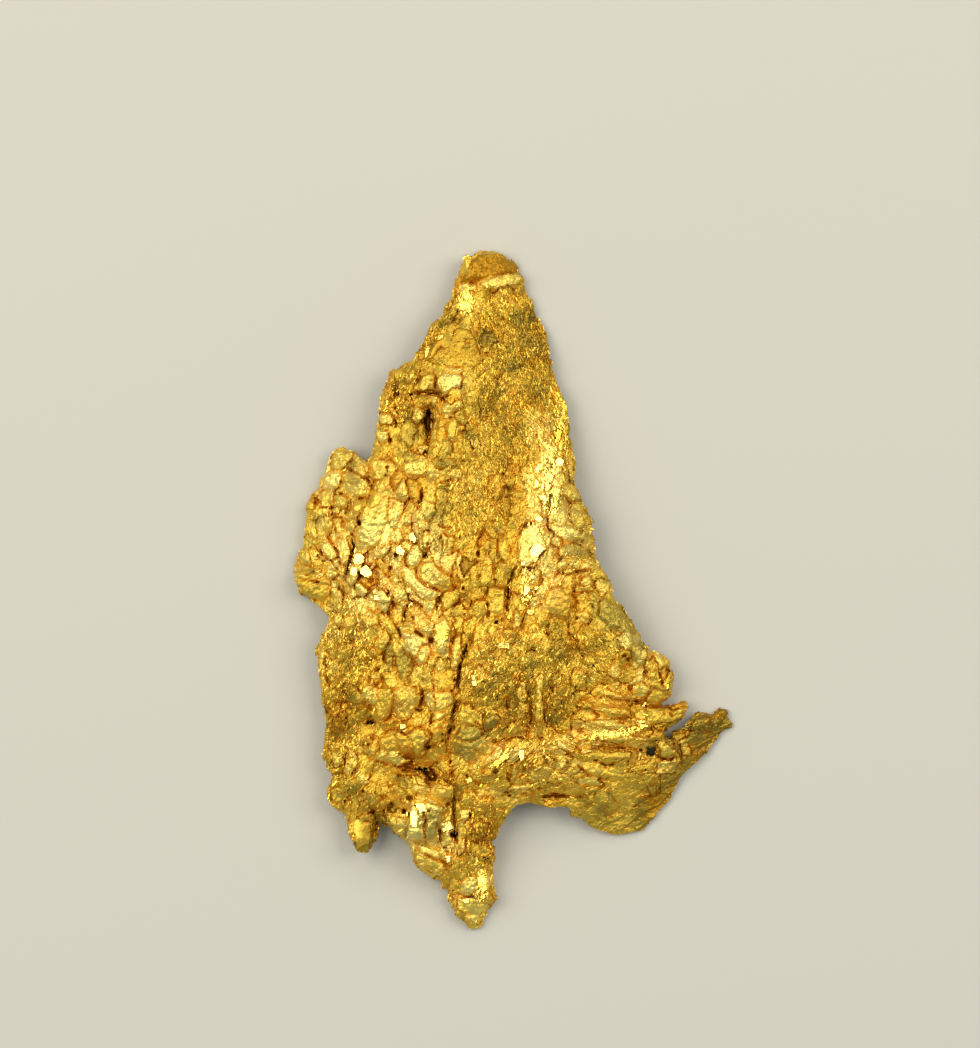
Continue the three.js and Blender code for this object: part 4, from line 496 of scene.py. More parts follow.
# Cracks and the seams between plates: width, depth, how dark they are painted (0 to 2: up to about 1
# an orange brown of iron staining that also stands in for the shade in them, above that painted shade
# going to a dark brown), and the path x, y, x, y ...
CRACKS = [
    (0.2, 0.45, 1.9, [1.45, -10.3, 2, -10.22, 2.7, -10.3]),
    (0.13, 0.35, 1, [-1.9, -1.73, -1.98, -2.03, -2.18, -2.53, -2.33, -3, -2.52, -3.37, -2.63, -3.68]),
    (0.14, 0.5, 2, [-2.63, -3.7, -2.67, -4.06, -2.75, -4.37, -2.98, -4.5]),
    (0.12, 0.3, 1, [-2.86, -4.56, -2.75, -4.98, -2.52, -5.25]),
    (0.16, 0.4, 1.6, [-2.67, -5.44, -2.83, -5.7, -2.94, -6, -3, -6.24]),
    (0.12, 0.3, 1, [-3, -6.24, -2.9, -6.55, -3.05, -6.78]),
    (0.2, 0.4, 1.9, [-3, -6.82, -3.12, -6.95, -3.28, -7.08]), (0.14, 0.25, 0.9, [-3.3, -8.25, -3.5, -8.5]),
    (0.12, 0.3, 1, [-3.2, -8.95, -3.1, -9.15, -3, -9.33]),
    (0.12, 0.3, 1.1, [-3.45, -9.45, -3.15, -9.57, -2.85, -9.8]),
    (0.12, 0.2, 0.6, [-3.08, -9.9, -3.1, -10.4, -3.08, -10.9]),
    (0.14, 0.35, 1.1, [-2.96, -10.95, -2.96, -11.6, -2.87, -11.95]),
    (0.13, 0.3, 1, [-2.9, -12.35, -2.88, -12.55, -3, -12.78]),
    (0.13, 0.5, 1.9, [0.14, 1.24, -0.01, 0.97, -0.17, 0.55, -0.2, 0.2, -0.24, -0.18, -0.32, -0.56,
     -0.4, -0.87, -0.28, -1]),
    (0.08, 0.25, 1, [0.83, -0.18, 0.79, -0.52, 0.6, -0.79, 0.52, -1.06, 0.45, -1.33, 0.48, -1.56,
     0.45, -1.75, 0.3, -2]),
    (0.11, 0.4, 1.5, [0.26, 2.72, 0.35, 2.99, 0.48, 3.18, 0.79, 3.35, 1.06, 3.27, 1.25, 3.1]),
    (0.07, 0.3, 1, [0.33, 1.08, 0.75, 1.24, 1.06, 1.5, 1.56, 2]),
    (0.12, 0.35, 1.2, [-1.31, 0.13, -1.39, -0.18, -1.58, -0.49]),
    (0.1, 0.3, 1.6, [1.5, -2.05, 1.6, -2.12, 1.75, -2.28]),
    (0.12, 0.25, 0.8, [-0.7, 1.5, -0.9, 1.3, -1.05, 0.97, -1.07, 0.8]),
    (0.1, 0.25, 1, [-1.75, 1.95, -1.75, 1.7]),
    (0.09, 0.25, 0.8, [1.94, 0.62, 2.25, 0.82, 2.86, 0.82, 3.24, 0.97, 3.9, 1.04]),
    (0.09, 0.3, 1.1, [2.87, -0.02, 3.15, -0.15, 4, -0.03]),
    (0.15, 0.3, 1, [3, -0.1, 3.03, -0.3, 3.12, -0.7, 3.05, -1.05]),
    (0.08, 0.25, 0.8, [4.5, -0.4, 4.25, -0.6, 4.2, -1, 4.1, -1.35]),
    (0.09, 0.25, 0.9, [3.3, -1.72, 3.6, -1.7, 3.9, -1.5]), (0.08, 0.3, 1.2, [2.6, -3.25, 2.62, -3.75]),
    (0.1, 0.25, 0.7, [1.79, 4.67, 2.1, 4.78, 2.48, 4.7, 2.86, 4.44, 3.24, 4.33]),
    (0.1, 0.35, 1.3, [-9.4, 2.75, -9.2, 2.45, -8.95, 2.1, -8.78, 1.85, -8.76, 1.5, -8.65, 1.15]),
    (0.1, 0.35, 1.2, [-9.95, 2.18, -9.7, 1.85, -9.4, 1.65, -9.27, 1.5]),
    (0.12, 0.4, 1.2, [-8.12, 2.82, -7.97, 2.58, -8.03, 2.3, -8.1, 2.05, -8.15, 1.65, -8.25, 1.3,
     -8.33, 0.97, -8.45, 0.75, -8.5, 0.5]), (0.1, 0.35, 1.1, [-9.43, 3.76, -9.08, 3.67, -8.62, 3.63]),
    (0.1, 0.35, 1.2, [-8.12, 4.5, -8.15, 4.25, -8.35, 3.87]), (0.1, 0.3, 0.9, [-8.57, 3.5, -8.57, 3.1]),
    (0.12, 0.35, 1.1, [-8.5, 0.15, -8.5, -0.15, -8.55, -0.35]),
    (0.09, 0.3, 1, [-7.63, 0.62, -7.8, 0.45, -7.98, 0.3, -8, 0.05]),
    (0.12, 0.4, 1.4, [-8.35, 6.13, -8.05, 5.93, -7.75, 5.75]),
    (0.1, 0.35, 1.1, [-7.75, 5.75, -7.55, 5.62, -7.3, 5.5, -7.13, 5.2, -7.07, 5]),
    (0.1, 0.35, 1.2, [-8, 4.6, -7.36, 4.6, -7.28, 4.75]), (0.12, 0.3, 1.1, [-10.15, 4.45, -9.75, 4.3]),
    (0.1, 0.3, 0.9, [-8.95, 4.95, -8.6, 4.8, -8.3, 4.6]),
    (0.1, 0.4, 1.2, [-5.28, 1.92, -5.42, 1.7, -5.4, 1.3, -5.25, 1.15]),
    (0.12, 0.4, 1.2, [-4.9, 1.13, -4.86, 0.67, -4.54, 0.4, -4.4, 0.25, -4.1, 0.15, -3.74, -0.03]),
    (0.1, 0.3, 1, [-3.87, 1.23, -3.5, 0.9, -3.1, 0.67]),
    (0.1, 0.3, 1, [-3.28, -0.06, -2.96, 0.04, -2.82, 0.2]),
    (0.13, 0.45, 1.6, [-3.7, -0.35, -3.77, -0.6, -3.84, -0.95]),
    (0.12, 0.35, 1.2, [-2.7, -0.4, -2.9, -0.65, -3.07, -0.9]),
    (0.14, 0.45, 1.8, [-5.5, -0.95, -5.28, -0.7, -5.07, -0.52, -4.72, -0.7, -4.6, -0.8]),
    (0.1, 0.35, 1.2, [-6.03, -0.3, -6.05, -0.9]), (0.12, 0.35, 1, [-4.3, 2.42, -4.35, 1.95]),
    (0.1, 0.3, 1.2, [-3.8, 3.3, -3.46, 3.1, -3.1, 3.13]), (0.08, 0.25, 0.7, [-3.35, 2.55, -3.37, 2.1]),
    (0.12, 0.4, 1.4, [-4.57, 5.05, -4.6, 4.8, -4.64, 4.5]), (0.12, 0.4, 1.3, [-4.72, 4.3, -4.87, 3.98]),
    (0.1, 0.3, 1.1, [-3.74, 5.33, -3.35, 5.4, -3, 5.55]), (0.08, 0.3, 1, [-3.4, 5.15, -3.2, 5.25]),
    (0.08, 0.25, 0.8, [-3.45, 8.15, -3.2, 8.5, -3, 8.78, -2.6, 9.08]),
    (0.15, 0.3, 0.9, [-4.35, 7.9, -4.3, 7.55, -4.32, 7.22]),
    (0.13, 0.4, 1.4, [-5.15, 9.8, -4.9, 9.88, -4.5, 9.78, -3.9, 9.76, -3.6, 9.55]),
    (0.12, 0.4, 1.3, [-3.6, 9.55, -3.45, 9.6, -3.2, 9.7]),
    (0.14, 0.2, 0.9, [-3.93, 10.75, -3.95, 10.4, -3.95, 10.05]),
    (0.12, 0.35, 1.2, [-4.65, 10.62, -4.85, 10.4, -5, 10.05]), (0.1, 0.25, 0.9, [-4.95, 10.85, -4.5, 11]),
    (0.07, 0.3, 1.3, [-2.63, 13.7, -2.75, 13.5, -2.9, 13.2]),
    (0.1, 0.25, 0.9, [-2.85, 15.6, -2.88, 15, -2.9, 14.3]),
    (0.12, 0.4, 1.8, [-5.5, -1.05, -5.48, -1.35, -5.52, -1.6]),
    (0.12, 0.45, 1.8, [-5.8, -1.85, -5.75, -2.1, -5.68, -2.3]),
    (0.1, 0.35, 1.2, [-5.68, -2.3, -5.55, -2.55]),
    (0.12, 0.45, 1.8, [-4.95, -2.05, -4.8, -2.12, -4.5, -2.32]),
    (0.12, 0.35, 1.1, [-5.3, -3.05, -5.05, -3.4, -4.85, -3.7]),
    (0.12, 0.35, 1, [-3.13, -1.73, -2.94, -1.96, -2.9, -2.22, -3.1, -2.6, -3.2, -2.88, -3.13, -3.3]),
    (0.09, 0.4, 1.8, [-8.02, -4.77, -7.82, -4.84, -7.75, -5.02, -7.65, -5.13]),
    (0.1, 0.3, 0.9, [-7.95, -3.15, -7.7, -3.5, -7.5, -3.6]),
    (0.1, 0.3, 0.9, [-7.5, -3.4, -7.3, -3.45, -7.05, -3.6]), (0.08, 0.25, 0.7, [-6.5, -3, -6.5, -3.75]),
    (0.12, 0.25, 0.8, [-6, -2.95, -5.97, -3.4, -5.95, -3.75, -5.83, -4.02]),
    (0.12, 0.35, 1.2, [-6.07, -5.75, -6.05, -5.98, -6.18, -6.2, -6.33, -6.43]),
    (0.1, 0.35, 1.3, [-7.3, -5.78, -7.08, -5.98]),
    (0.13, 0.35, 1, [-4.75, -4.75, -4.58, -5, -4.58, -5.4, -4.7, -5.7]),
    (0.12, 0.4, 1.8, [-4.9, -5.9, -4.75, -5.95, -4.58, -5.93]), (0.1, 0.3, 0.9, [-5.27, -4.3, -5.15, -4.6]),
    (0.13, 0.3, 1, [-9.4, -3, -9.4, -3.7, -9.35, -4.4, -9.25, -4.85, -9.2, -5.15]),
    (0.16, 0.4, 1.8, [-4.08, -6.15, -4.17, -6.5, -4.2, -6.75]),
    (0.12, 0.35, 1.2, [-0.98, -5.88, -0.64, -6.17]),
    (0.08, 0.3, 1.1, [-1.97, -6.52, -1.75, -6.68, -1.53, -6.87]),
    (0.08, 0.25, 1, [-4.87, -6.88, -4.53, -6.76]),
    (0.12, 0.35, 1.2, [-4.3, -6.87, -4.1, -7.17, -4.18, -7.48, -4.37, -7.75, -4.45, -8]),
    (0.15, 0.4, 1.4, [-8.35, -7.75, -8.43, -8.25, -8.47, -8.7]),
    (0.1, 0.3, 1, [-7.74, -8.74, -7.97, -9.1, -8.16, -9.35]),
    (0.08, 0.25, 1, [-6.98, -8.5, -6.6, -8.62, -6.25, -8.75]),
    (0.2, 0.4, 1.3, [-5.65, -8.8, -5.33, -8.67, -4.98, -8.45]),
    (0.14, 0.35, 1.2, [0.5, -8.55, 0.5, -9, 0.47, -9.2, 0.3, -9.38]),
    (0.12, 0.3, 1, [-0.33, -9.05, -0.25, -9.52]),
    (0.12, 0.3, 1.2, [-2.02, -9.48, -1.75, -9.67, -1.48, -9.67]),
    (0.1, 0.3, 1, [-2.17, -10.8, -1.7, -10.9]),
    (0.14, 0.35, 1.1, [0.94, -4.2, 0.92, -5.3, 0.88, -5.8, 0.86, -6.3, 0.84, -6.65]),
    (0.12, 0.35, 1.2, [0.6, -6.9, 0.57, -7, 0.68, -7.4]),
    (0.14, 0.35, 1.3, [1.57, -5.4, 1.57, -5.9, 1.53, -6.6, 1.62, -6.85]),
    (0.08, 0.3, 1.3, [1.3, -8.2, 1.48, -8.3, 1.65, -8.47]),
    (0.07, 0.25, 1, [1.4, -7.9, 1.65, -8.12, 2, -8.45]), (0.08, 0.3, 1.4, [2.13, -7.77, 2.28, -7.95]),
    (0.14, 0.35, 1.5, [2.48, -8, 2.6, -8.15, 2.77, -8.22]), (0.12, 0.3, 1.1, [2.3, -8.95, 2.35, -9.3]),
    (0.14, 0.3, 1, [2.35, -9.5, 2.2, -9.75]),
    (0.1, 0.3, 1.2, [3.18, -8.72, 3.4, -9, 3.6, -9.15, 3.9, -9.33]),
    (0.1, 0.3, 1.4, [4.3, -8.62, 4.45, -8.65, 4.6, -8.72]), (0.1, 0.3, 1.6, [4.7, -8.7, 4.9, -8.68]),
    (0.08, 0.25, 1.2, [4.25, -9.38, 4.35, -9.42]), (0.08, 0.25, 1.2, [4.6, -9.42, 4.75, -9.38]),
    (0.08, 0.3, 1.2, [5.12, -6.55, 5.3, -6.52, 5.47, -6.62]),
    (0.12, 0.3, 1.3, [3.55, -7.25, 3.75, -7.32, 3.9, -7.38]),
    (0.12, 0.35, 1.6, [4, -7.38, 4.1, -7.38, 4.15, -7.22]),
    (0.14, 0.3, 0.9, [4.2, -7.9, 4.7, -7.88, 5.1, -7.85]),
    (0.16, 0.35, 1.5, [5.1, -7.85, 5.35, -7.85, 5.5, -7.9]),
    (0.14, 0.35, 1.2, [5.6, -7.88, 5.9, -7.92, 6.2, -7.97]), (0.08, 0.25, 1.2, [3.1, -5.8, 3.3, -5.82]),
    (0.08, 0.25, 1.1, [3.85, -5.8, 4.2, -5.87]), (0.1, 0.25, 1.2, [6.23, -9.02, 6.58, -9.22]),
    (0.1, 0.3, 1.1, [7.73, -6.1, 7.83, -6.2, 7.95, -6.4]),
    (0.14, 0.4, 1.5, [6.65, -5.78, 7, -5.83, 7.4, -5.85]),
    (0.16, 0.3, 1.1, [7.4, -5.85, 7.8, -5.78, 8.05, -5.7]),
    (0.1, 0.3, 1.2, [5.75, -5.7, 6, -5.68, 6.2, -5.58]),
    (0.12, 0.3, 1, [6.82, -5.06, 6.6, -5.3, 6.48, -5.52]),
    (0.12, 0.35, 1.3, [7.2, -4.1, 7.32, -4.4, 7.4, -4.85]), (0.1, 0.35, 1.4, [6.52, -4, 6.5, -4.35]),
    (0.12, 0.35, 1.5, [6.72, -3.52, 6.85, -3.4, 6.9, -3.2]),
    (0.12, 0.35, 1.7, [7.45, -8.45, 7.85, -8.5, 8.05, -8.38]),
    (0.14, 0.3, 1.2, [7.95, -7.5, 8, -7.65, 8.1, -7.85]),
    (0.14, 0.25, 1, [7.15, -8.1, 7.2, -8.3, 7.4, -8.45]),
    (0.08, 0.3, 1, [-4.43, -11.2, -4.4, -11.5, -4.5, -11.8, -4.5, -12.2, -4.45, -12.62]),
    (0.17, 0.35, 1.1, [-3.85, -11.6, -3.75, -12, -3.68, -12.45, -3.75, -12.78]),
    (0.1, 0.3, 1, [-4.47, -13.2, -4, -13.4, -3.5, -13.65]),
    (0.16, 0.3, 1, [-3.5, -13.65, -3.25, -13.85, -3.05, -13.65]),
    (0.09, 0.25, 1, [-2.13, -11.1, -2.15, -11.3, -2.3, -11.47]),
    (0.12, 0.35, 1.3, [-2.25, -12.5, -2.05, -12.52, -1.75, -12.57, -1.35, -12.5]),
    (0.1, 0.35, 1.2, [-2.37, -13.07, -2.1, -13.3]),
    (0.07, 0.25, 1, [-2.95, -15.4, -2.5, -15.38, -2.1, -15.34, -1.55, -15.2, -1.3, -15.3]),
    (0.1, 0.3, 1.6, [-3.2, -15.1, -3, -15.1]), (0.1, 0.35, 1.6, [-6.5, -10.95, -6.5, -11.3]),
    (0.09, 0.25, 0.9, [-2.75, 3, -2.75, 2.5]),
    (0.09, 0.25, 0.9, [-1.1, 5.85, -1.3, 5.4, -1.38, 5, -1.35, 4.65]), (0.08, 0.2, 0.7, [-9.1, 1, -8.8, 1]),
]

# Pits: x, y, half sizes, turn, depth, how dark they are painted (0 to 2: up to about 1 an orange brown
# of iron staining that also stands in for the shade in them, above that painted shade going to a dark
# brown).
PITS = [
    (-4.3, 8.45, 0.3, 0.2, 0, 0.5, 1.7), (-4.27, 8.6, 0.12, 0.4, 0, 0.5, 1.6),
    (-4.28, 8.15, 0.12, 0.3, 0, 0.4, 1.4), (-5.85, 9.8, 0.16, 0.14, 30, 0.4, 1.8),
    (-5.1, 9.75, 0.12, 0.08, 0, 0.4, 1.7), (-3.55, 9.5, 0.1, 0.1, 0, 0.35, 1.5),
    (-5.93, 9.1, 0.08, 0.08, 0, 0.3, 1.5), (-5.86, 8.8, 0.08, 0.1, 0, 0.3, 1.6),
    (-5.9, 8.28, 0.09, 0.14, 0, 0.35, 1.8), (-6.16, 7.47, 0.06, 0.09, 0, 0.3, 1.5),
    (-6.33, 6.12, 0.07, 0.07, 0, 0.25, 1.3), (-6.32, 5.95, 0.05, 0.05, 0, 0.2, 1),
    (-6.4, 5.72, 0.06, 0.07, 0, 0.25, 1.2), (-4.43, 6.8, 0.1, 0.09, 0, 0.3, 1.6),
    (-7.73, 3.36, 0.1, 0.16, 20, 0.4, 1.9), (-6.18, 1.12, 0.1, 0.1, 0, 0.25, 1.2),
    (-7.16, 0.48, 0.14, 0.12, 30, 0.25, 1.3), (-6.28, -0.13, 0.05, 0.16, 0, 0.35, 1.6),
    (-5.9, 1.76, 0.1, 0.08, -40, 0.35, 1.6), (-4.4, 1.72, 0.13, 0.12, 0, 0.4, 1.8),
    (-2.53, 0.11, 0.07, 0.07, 0, 0.3, 1.5), (-5.67, 0.4, 0.07, 0.07, 0, 0.25, 1.3),
    (-9.5, 1.46, 0.07, 0.07, 0, 0.3, 1.6), (-9.88, 0.4, 0.12, 0.06, -10, 0.25, 1.5),
    (-10, 0.9, 0.1, 0.06, -30, 0.2, 1), (-8.65, 4.8, 0.08, 0.06, 0, 0.25, 1.3),
    (-8.65, 5.42, 0.05, 0.08, 0, 0.2, 1), (-1.7, 2.4, 0.2, 0.25, 0, 0.2, 1),
    (-1.36, -0.7, 0.09, 0.09, 0, 0.25, 1.2), (-1.3, -1.17, 0.1, 0.16, 0, 0.25, 1.2),
    (-0.87, -1.58, 0.12, 0.07, 20, 0.4, 1.9), (0.95, -2.87, 0.15, 0.12, -40, 0.35, 1.8),
    (3.3, 0.6, 0.1, 0.16, 0, 0.2, 0.9), (3.9, -0.8, 0.05, 0.05, 0, 0.2, 1.3),
    (3.12, -1.38, 0.06, 0.06, 0, 0.2, 1.3), (5.5, -3.24, 0.14, 0.07, 10, 0.3, 1.6),
    (5.7, -3.45, 0.12, 0.1, 0, 0.3, 1.3), (3.37, -3.2, 0.08, 0.14, 20, 0.25, 1.1),
    (3.93, -3.75, 0.08, 0.08, 0, 0.3, 1.6), (7.65, -4, 0.08, 0.06, 0, 0.2, 1.4),
    (5.78, -4.87, 0.12, 0.12, 0, 0.25, 1.1), (7, -4.9, 0.06, 0.05, 0, 0.2, 1.4),
    (5.68, -5.5, 0.1, 0.08, 0, 0.2, 1), (-8.67, -1.93, 0.12, 0.1, 0, 0.25, 1),
    (-8.1, -2.6, 0.16, 0.14, -40, 0.25, 1.1), (-7.85, -2.92, 0.12, 0.06, -20, 0.2, 1),
    (-6.83, -3.95, 0.14, 0.1, 0, 0.3, 1.3), (-6.87, -4.68, 0.16, 0.08, 0, 0.25, 1.1),
    (-7.2, -4.4, 0.06, 0.2, 0, 0.2, 0.9), (-6.55, -4.45, 0.06, 0.2, 0, 0.2, 0.9),
    (-8.5, -5.75, 0.22, 0.2, 0, 0.25, 1.1), (-8.15, -5.9, 0.07, 0.06, 0, 0.25, 1.5),
    (-8.75, -6.4, 0.12, 0.06, 0, 0.2, 1.1), (-7.18, -6.57, 0.3, 0.13, 5, 0.45, 1.9),
    (-7.28, -7.7, 0.05, 0.07, 0, 0.3, 1.8), (-7.1, -7.4, 0.16, 0.08, -30, 0.2, 1),
    (-4.7, -8.95, 0.1, 0.06, 0, 0.35, 2), (-4.3, -9.1, 0.35, 0.2, -20, 0.45, 1.9),
    (-4.1, -9.3, 0.25, 0.25, 0, 0.4, 1.8), (-4.3, -9.55, 0.1, 0.2, 40, 0.3, 1.4),
    (-4.3, -7.8, 0.2, 0.14, 0, 0.3, 1.5), (-5.15, -10.35, 0.2, 0.12, 0, 0.3, 1.5),
    (-5.3, -8.9, 0.3, 0.25, 30, 0.25, 1), (-6.12, -10.72, 0.16, 0.12, -40, 0.3, 1.3),
    (-5.5, -11.05, 0.1, 0.12, 0, 0.35, 1.9), (-8.42, -10.56, 0.12, 0.07, 0, 0.3, 1.7),
    (-7.55, -10.05, 0.05, 0.11, -20, 0.3, 1.6), (-7.5, -10.55, 0.05, 0.07, 0, 0.2, 1.3),
    (-7.37, -11.6, 0.1, 0.06, 0, 0.2, 1.1), (-1, -7.5, 0.14, 0.1, 0, 0.25, 1.2),
    (-3.62, -7.5, 0.07, 0.06, 0, 0.25, 1.4), (-3.2, -8.55, 0.07, 0.09, 0, 0.3, 1.5),
    (-2.36, -9.25, 0.05, 0.08, 0, 0.25, 1.3), (-3.3, -10.67, 0.1, 0.06, 0, 0.25, 1.3),
    (-2.28, -10.2, 0.16, 0.14, 0, 0.1, 0.5), (-0.38, -10.1, 0.12, 0.05, -15, 0.3, 1.6),
    (-0.25, -10.28, 0.1, 0.05, 10, 0.25, 1.4), (-3.05, -12.2, 0.12, 0.14, 0, 0.45, 2),
    (-2.9, -12.2, 0.08, 0.18, 0, 0.4, 1.9), (-3.48, -12.87, 0.12, 0.05, 0, 0.2, 1.1),
    (-3.32, -13.1, 0.06, 0.06, 0, 0.2, 1.3), (-1.33, -11.85, 0.12, 0.1, 0, 0.2, 1.1),
    (-1.5, -13.4, 0.06, 0.09, 0, 0.3, 1.7), (-1.6, -13.95, 0.04, 0.05, 0, 0.2, 1.5),
    (-2.1, -15.33, 0.06, 0.06, 0, 0.25, 1.7), (-0.85, -5.3, 0.07, 0.12, 10, 0.3, 1.8),
    (-1, -3.4, 0.08, 0.1, 0, 0.25, 1.2), (-1.15, -3.83, 0.12, 0.08, -20, 0.25, 1.2),
    (-1.33, -2.55, 0.1, 0.1, 0, 0.25, 1.2), (-1.5, -4.5, 0.16, 0.07, -25, 0.25, 1.2),
    (-4.15, -2.5, 0.12, 0.14, 0, 0.3, 1.3), (2.93, -5.2, 0.06, 0.1, 0, 0.35, 1.9),
    (2.95, -6.15, 0.05, 0.09, 0, 0.3, 1.6), (2.83, -6.8, 0.05, 0.2, 0, 0.25, 1.2),
    (2.8, -7.35, 0.2, 0.1, -40, 0.15, 0.7), (1.38, -7.35, 0.05, 0.07, 0, 0.25, 1.6),
    (2.65, -8.55, 0.07, 0.09, 0, 0.25, 1.2), (1.7, -9.57, 0.08, 0.05, 0, 0.2, 1.3),
    (1.3, -9.9, 0.12, 0.08, 0, 0.2, 1), (4.05, -8.48, 0.12, 0.06, 0, 0.25, 1.3),
    (5.18, -7.72, 0.04, 0.08, 0, 0.25, 1.6), (6, -7, 0.05, 0.06, 0, 0.25, 1.9),
    (5.7, -8.6, 0.05, 0.12, 0, 0.2, 1.2), (2.75, -5.4, 0.1, 0.2, 20, 0.1, 0.6),
    (2.97, -9.4, 0.12, 0.14, 0, 0.1, 0.7), (3.3, -10.35, 0.12, 0.08, 0, 0.1, 0.7),
    (6.33, -8, 0.08, 0.06, 0, 0.35, 1.8), (-1.17, 14.22, 0.04, 0.05, 0, 0.2, 1.3),
    (-0.25, 12.43, 0.05, 0.06, 0, 0.2, 1.2), (-2.3, 12.42, 0.2, 0.1, -15, 0.1, 0.6),
    (-0.55, 13.6, 0.1, 0.12, 0, 0.15, 0.9), (-0.4, 5.1, 0.2, 0.1, 0, 0.1, 0.7),
    (-1.8, 1.83, 0.06, 0.14, 0, 0.3, 1.3), (-1.75, 0.72, 0.1, 0.07, 0, 0.2, 1),
    (9.4, -6.95, 0.06, 0.04, 0, 0.08, 0.6),
]


# ---------------------------------------------------------------- numbers from places
WORD = 0xFFFFFFFF  # keeps a whole number to 32 bits
ZONE_EDGE = 0.5  # how softly the satin, glittering and hackly zones end, as a share of their size
TIP_EDGE = 0.6
TONE_EDGE = 0.75
STAIN_EDGE = 0.6


def scatter(i, j, seed):
    """A number from 0 to 1 for each pair of whole numbers, the same on every run."""
    i, j = np.asarray(i, np.int64), np.asarray(j, np.int64)
    n = (i * 374761393 + j * 668265263 + seed * 144665) & WORD
    n = ((n ^ (n >> 13)) * 1274126177) & WORD
    n = ((n ^ (n >> 15)) * 2246822519) & WORD
    return ((n ^ (n >> 16)) & 0xFFFFFF) / float(0xFFFFFF)


def step(value, start, end):
    """Runs smoothly from 0 at start to 1 at end."""
    t = np.clip((value - start) / (end - start), 0, 1)
    return t * t * (3 - 2 * t)


def lumps(x, y, size, seed):
    """Smooth noise from -1 to 1 with lumps as wide as size."""
    u, v = x / size, y / size
    i, j = np.floor(u).astype(int), np.floor(v).astype(int)
    a, b = step(u - i, 0, 1), step(v - j, 0, 1)
    low = scatter(i, j, seed) * (1 - a) + scatter(i + 1, j, seed) * a
    high = scatter(i, j + 1, seed) * (1 - a) + scatter(i + 1, j + 1, seed) * a
    return 2 * (low * (1 - b) + high * b) - 1


def turned(x, y, cx, cy, degrees):
    """Offsets from a centre, along and across a heading."""
    c, s = math.cos(math.radians(degrees)), math.sin(math.radians(degrees))
    return (x - cx) * c + (y - cy) * s, (y - cy) * c - (x - cx) * s


def patches(x, y, zones, softness):
    """How far each point lies in a list of soft ellipses, from 0 to 1."""
    inside = np.zeros_like(x)
    for cx, cy, half_u, half_v, turn in zones:
        u, v = turned(x, y, cx, cy, turn)
        reach = np.sqrt((u / half_u) ** 2 + (v / half_v) ** 2)
        inside = np.maximum(inside, 1 - step(reach, 1 - softness, 1 + softness))
    return inside


def tips(x, y):
    """How the crystals of each place tip, as slopes to the left and to the far end."""
    left, far_end = np.zeros_like(x), np.zeros_like(x)
    for *zone, to_left, to_far in TIPS:
        share = patches(x, y, [zone], TIP_EDGE)
        left += share * math.tan(math.radians(to_left))
        far_end += share * math.tan(math.radians(to_far))
    return left, far_end


def tone_and_painted_light(x, y):
    """How bright the gold is painted at each place, 0 to 1: lumps of its own freshness and dullness, with
    painted light and painted shade in the listed zones.
    """
    ragged_x = x + 0.5 * lumps(x, y, 1.1, 24)
    ragged_y = y + 0.5 * lumps(x, y, 1.1, 25)
    total = 0.25 * lumps(x, y, 1.3, 26) + 0.15 * lumps(x, y, 0.5, 27)
    for *zone, share in TONES_AND_PAINTED_LIGHT:
        total = total + share * patches(ragged_x, ragged_y, [zone], TONE_EDGE)
    return np.clip(0.5 + 0.5 * total, 0, 1)


def stain_and_shade(x, y):
    """How the gold is tinted at each place, from -1, olive, a painted dark reflection, through 0, clean, to
    1, orange brown: iron staining, and painted shade in the listed crevices.
    """
    ragged_x = x + 0.25 * lumps(x, y, 0.5, 34)
    ragged_y = y + 0.25 * lumps(x, y, 0.5, 35)
    orange = lumps(x, y, 0.7, 36) + 0.8 * lumps(x, y, 0.22, 37) - 0.25
    olive_reflection = lumps(x, y, 0.9, 38) + 0.7 * lumps(x, y, 0.3, 39) - 0.3
    total = 1.4 * np.maximum(orange, 0)
    total -= 0.9 * np.maximum(olive_reflection, 0)
    for *zone, share in STAINS_AND_SHADES:
        total = total + share * patches(ragged_x, ragged_y, [zone], STAIN_EDGE)
    return np.clip(total, -1, 1)


def fabric(x, y):
    """The heading of the crystals' long side, in radians. Headings half a turn apart are alike."""
    c, s = np.zeros_like(x), np.full_like(x, 1e-6)  # the small numbers keep a heading everywhere
    for cx, cy, heading, reach in FABRIC:
        weight = np.exp(-((x - cx) ** 2 + (y - cy) ** 2) / (2 * reach**2)) + 1e-9
        c += weight * math.cos(2 * math.radians(heading))
        s += weight * math.sin(2 * math.radians(heading))
    return np.arctan2(s, c) / 2


# ---------------------------------------------------------------- grown crystals, too many to place
MOSAIC_WIDE, MOSAIC_LONG = 14, 20  # mm from the middle that the mosaic reaches, along X and Y
FILL_WIDE, FILL_LONG = 13, 19  # mm from the middle that the fillers reach
FILLER_CLEARANCE = 0.06  # mm between a traced top and the middle of the nearest filler

# Packed scales: size in mm, seed, how long they are for their width, and in mm the difference in
# height, the lean, the depth of the seams and the width of the seams (in sizes).
MIDDLE_SCALES = (0.34, 61, 2.4, 0.05, 0.1, 0.035, 0.12)
SMALL_SCALES = (0.16, 71, 2.0, 0.035, 0.07, 0.02, 0.14)
BACK_BLOCKS = (1.25, 151, 2.0, 0.22, 0.2, 0.1, 0.1)
BACK_SCALES = (0.5, 161, 2.0, 0.1, 0.14, 0.07, 0.12)


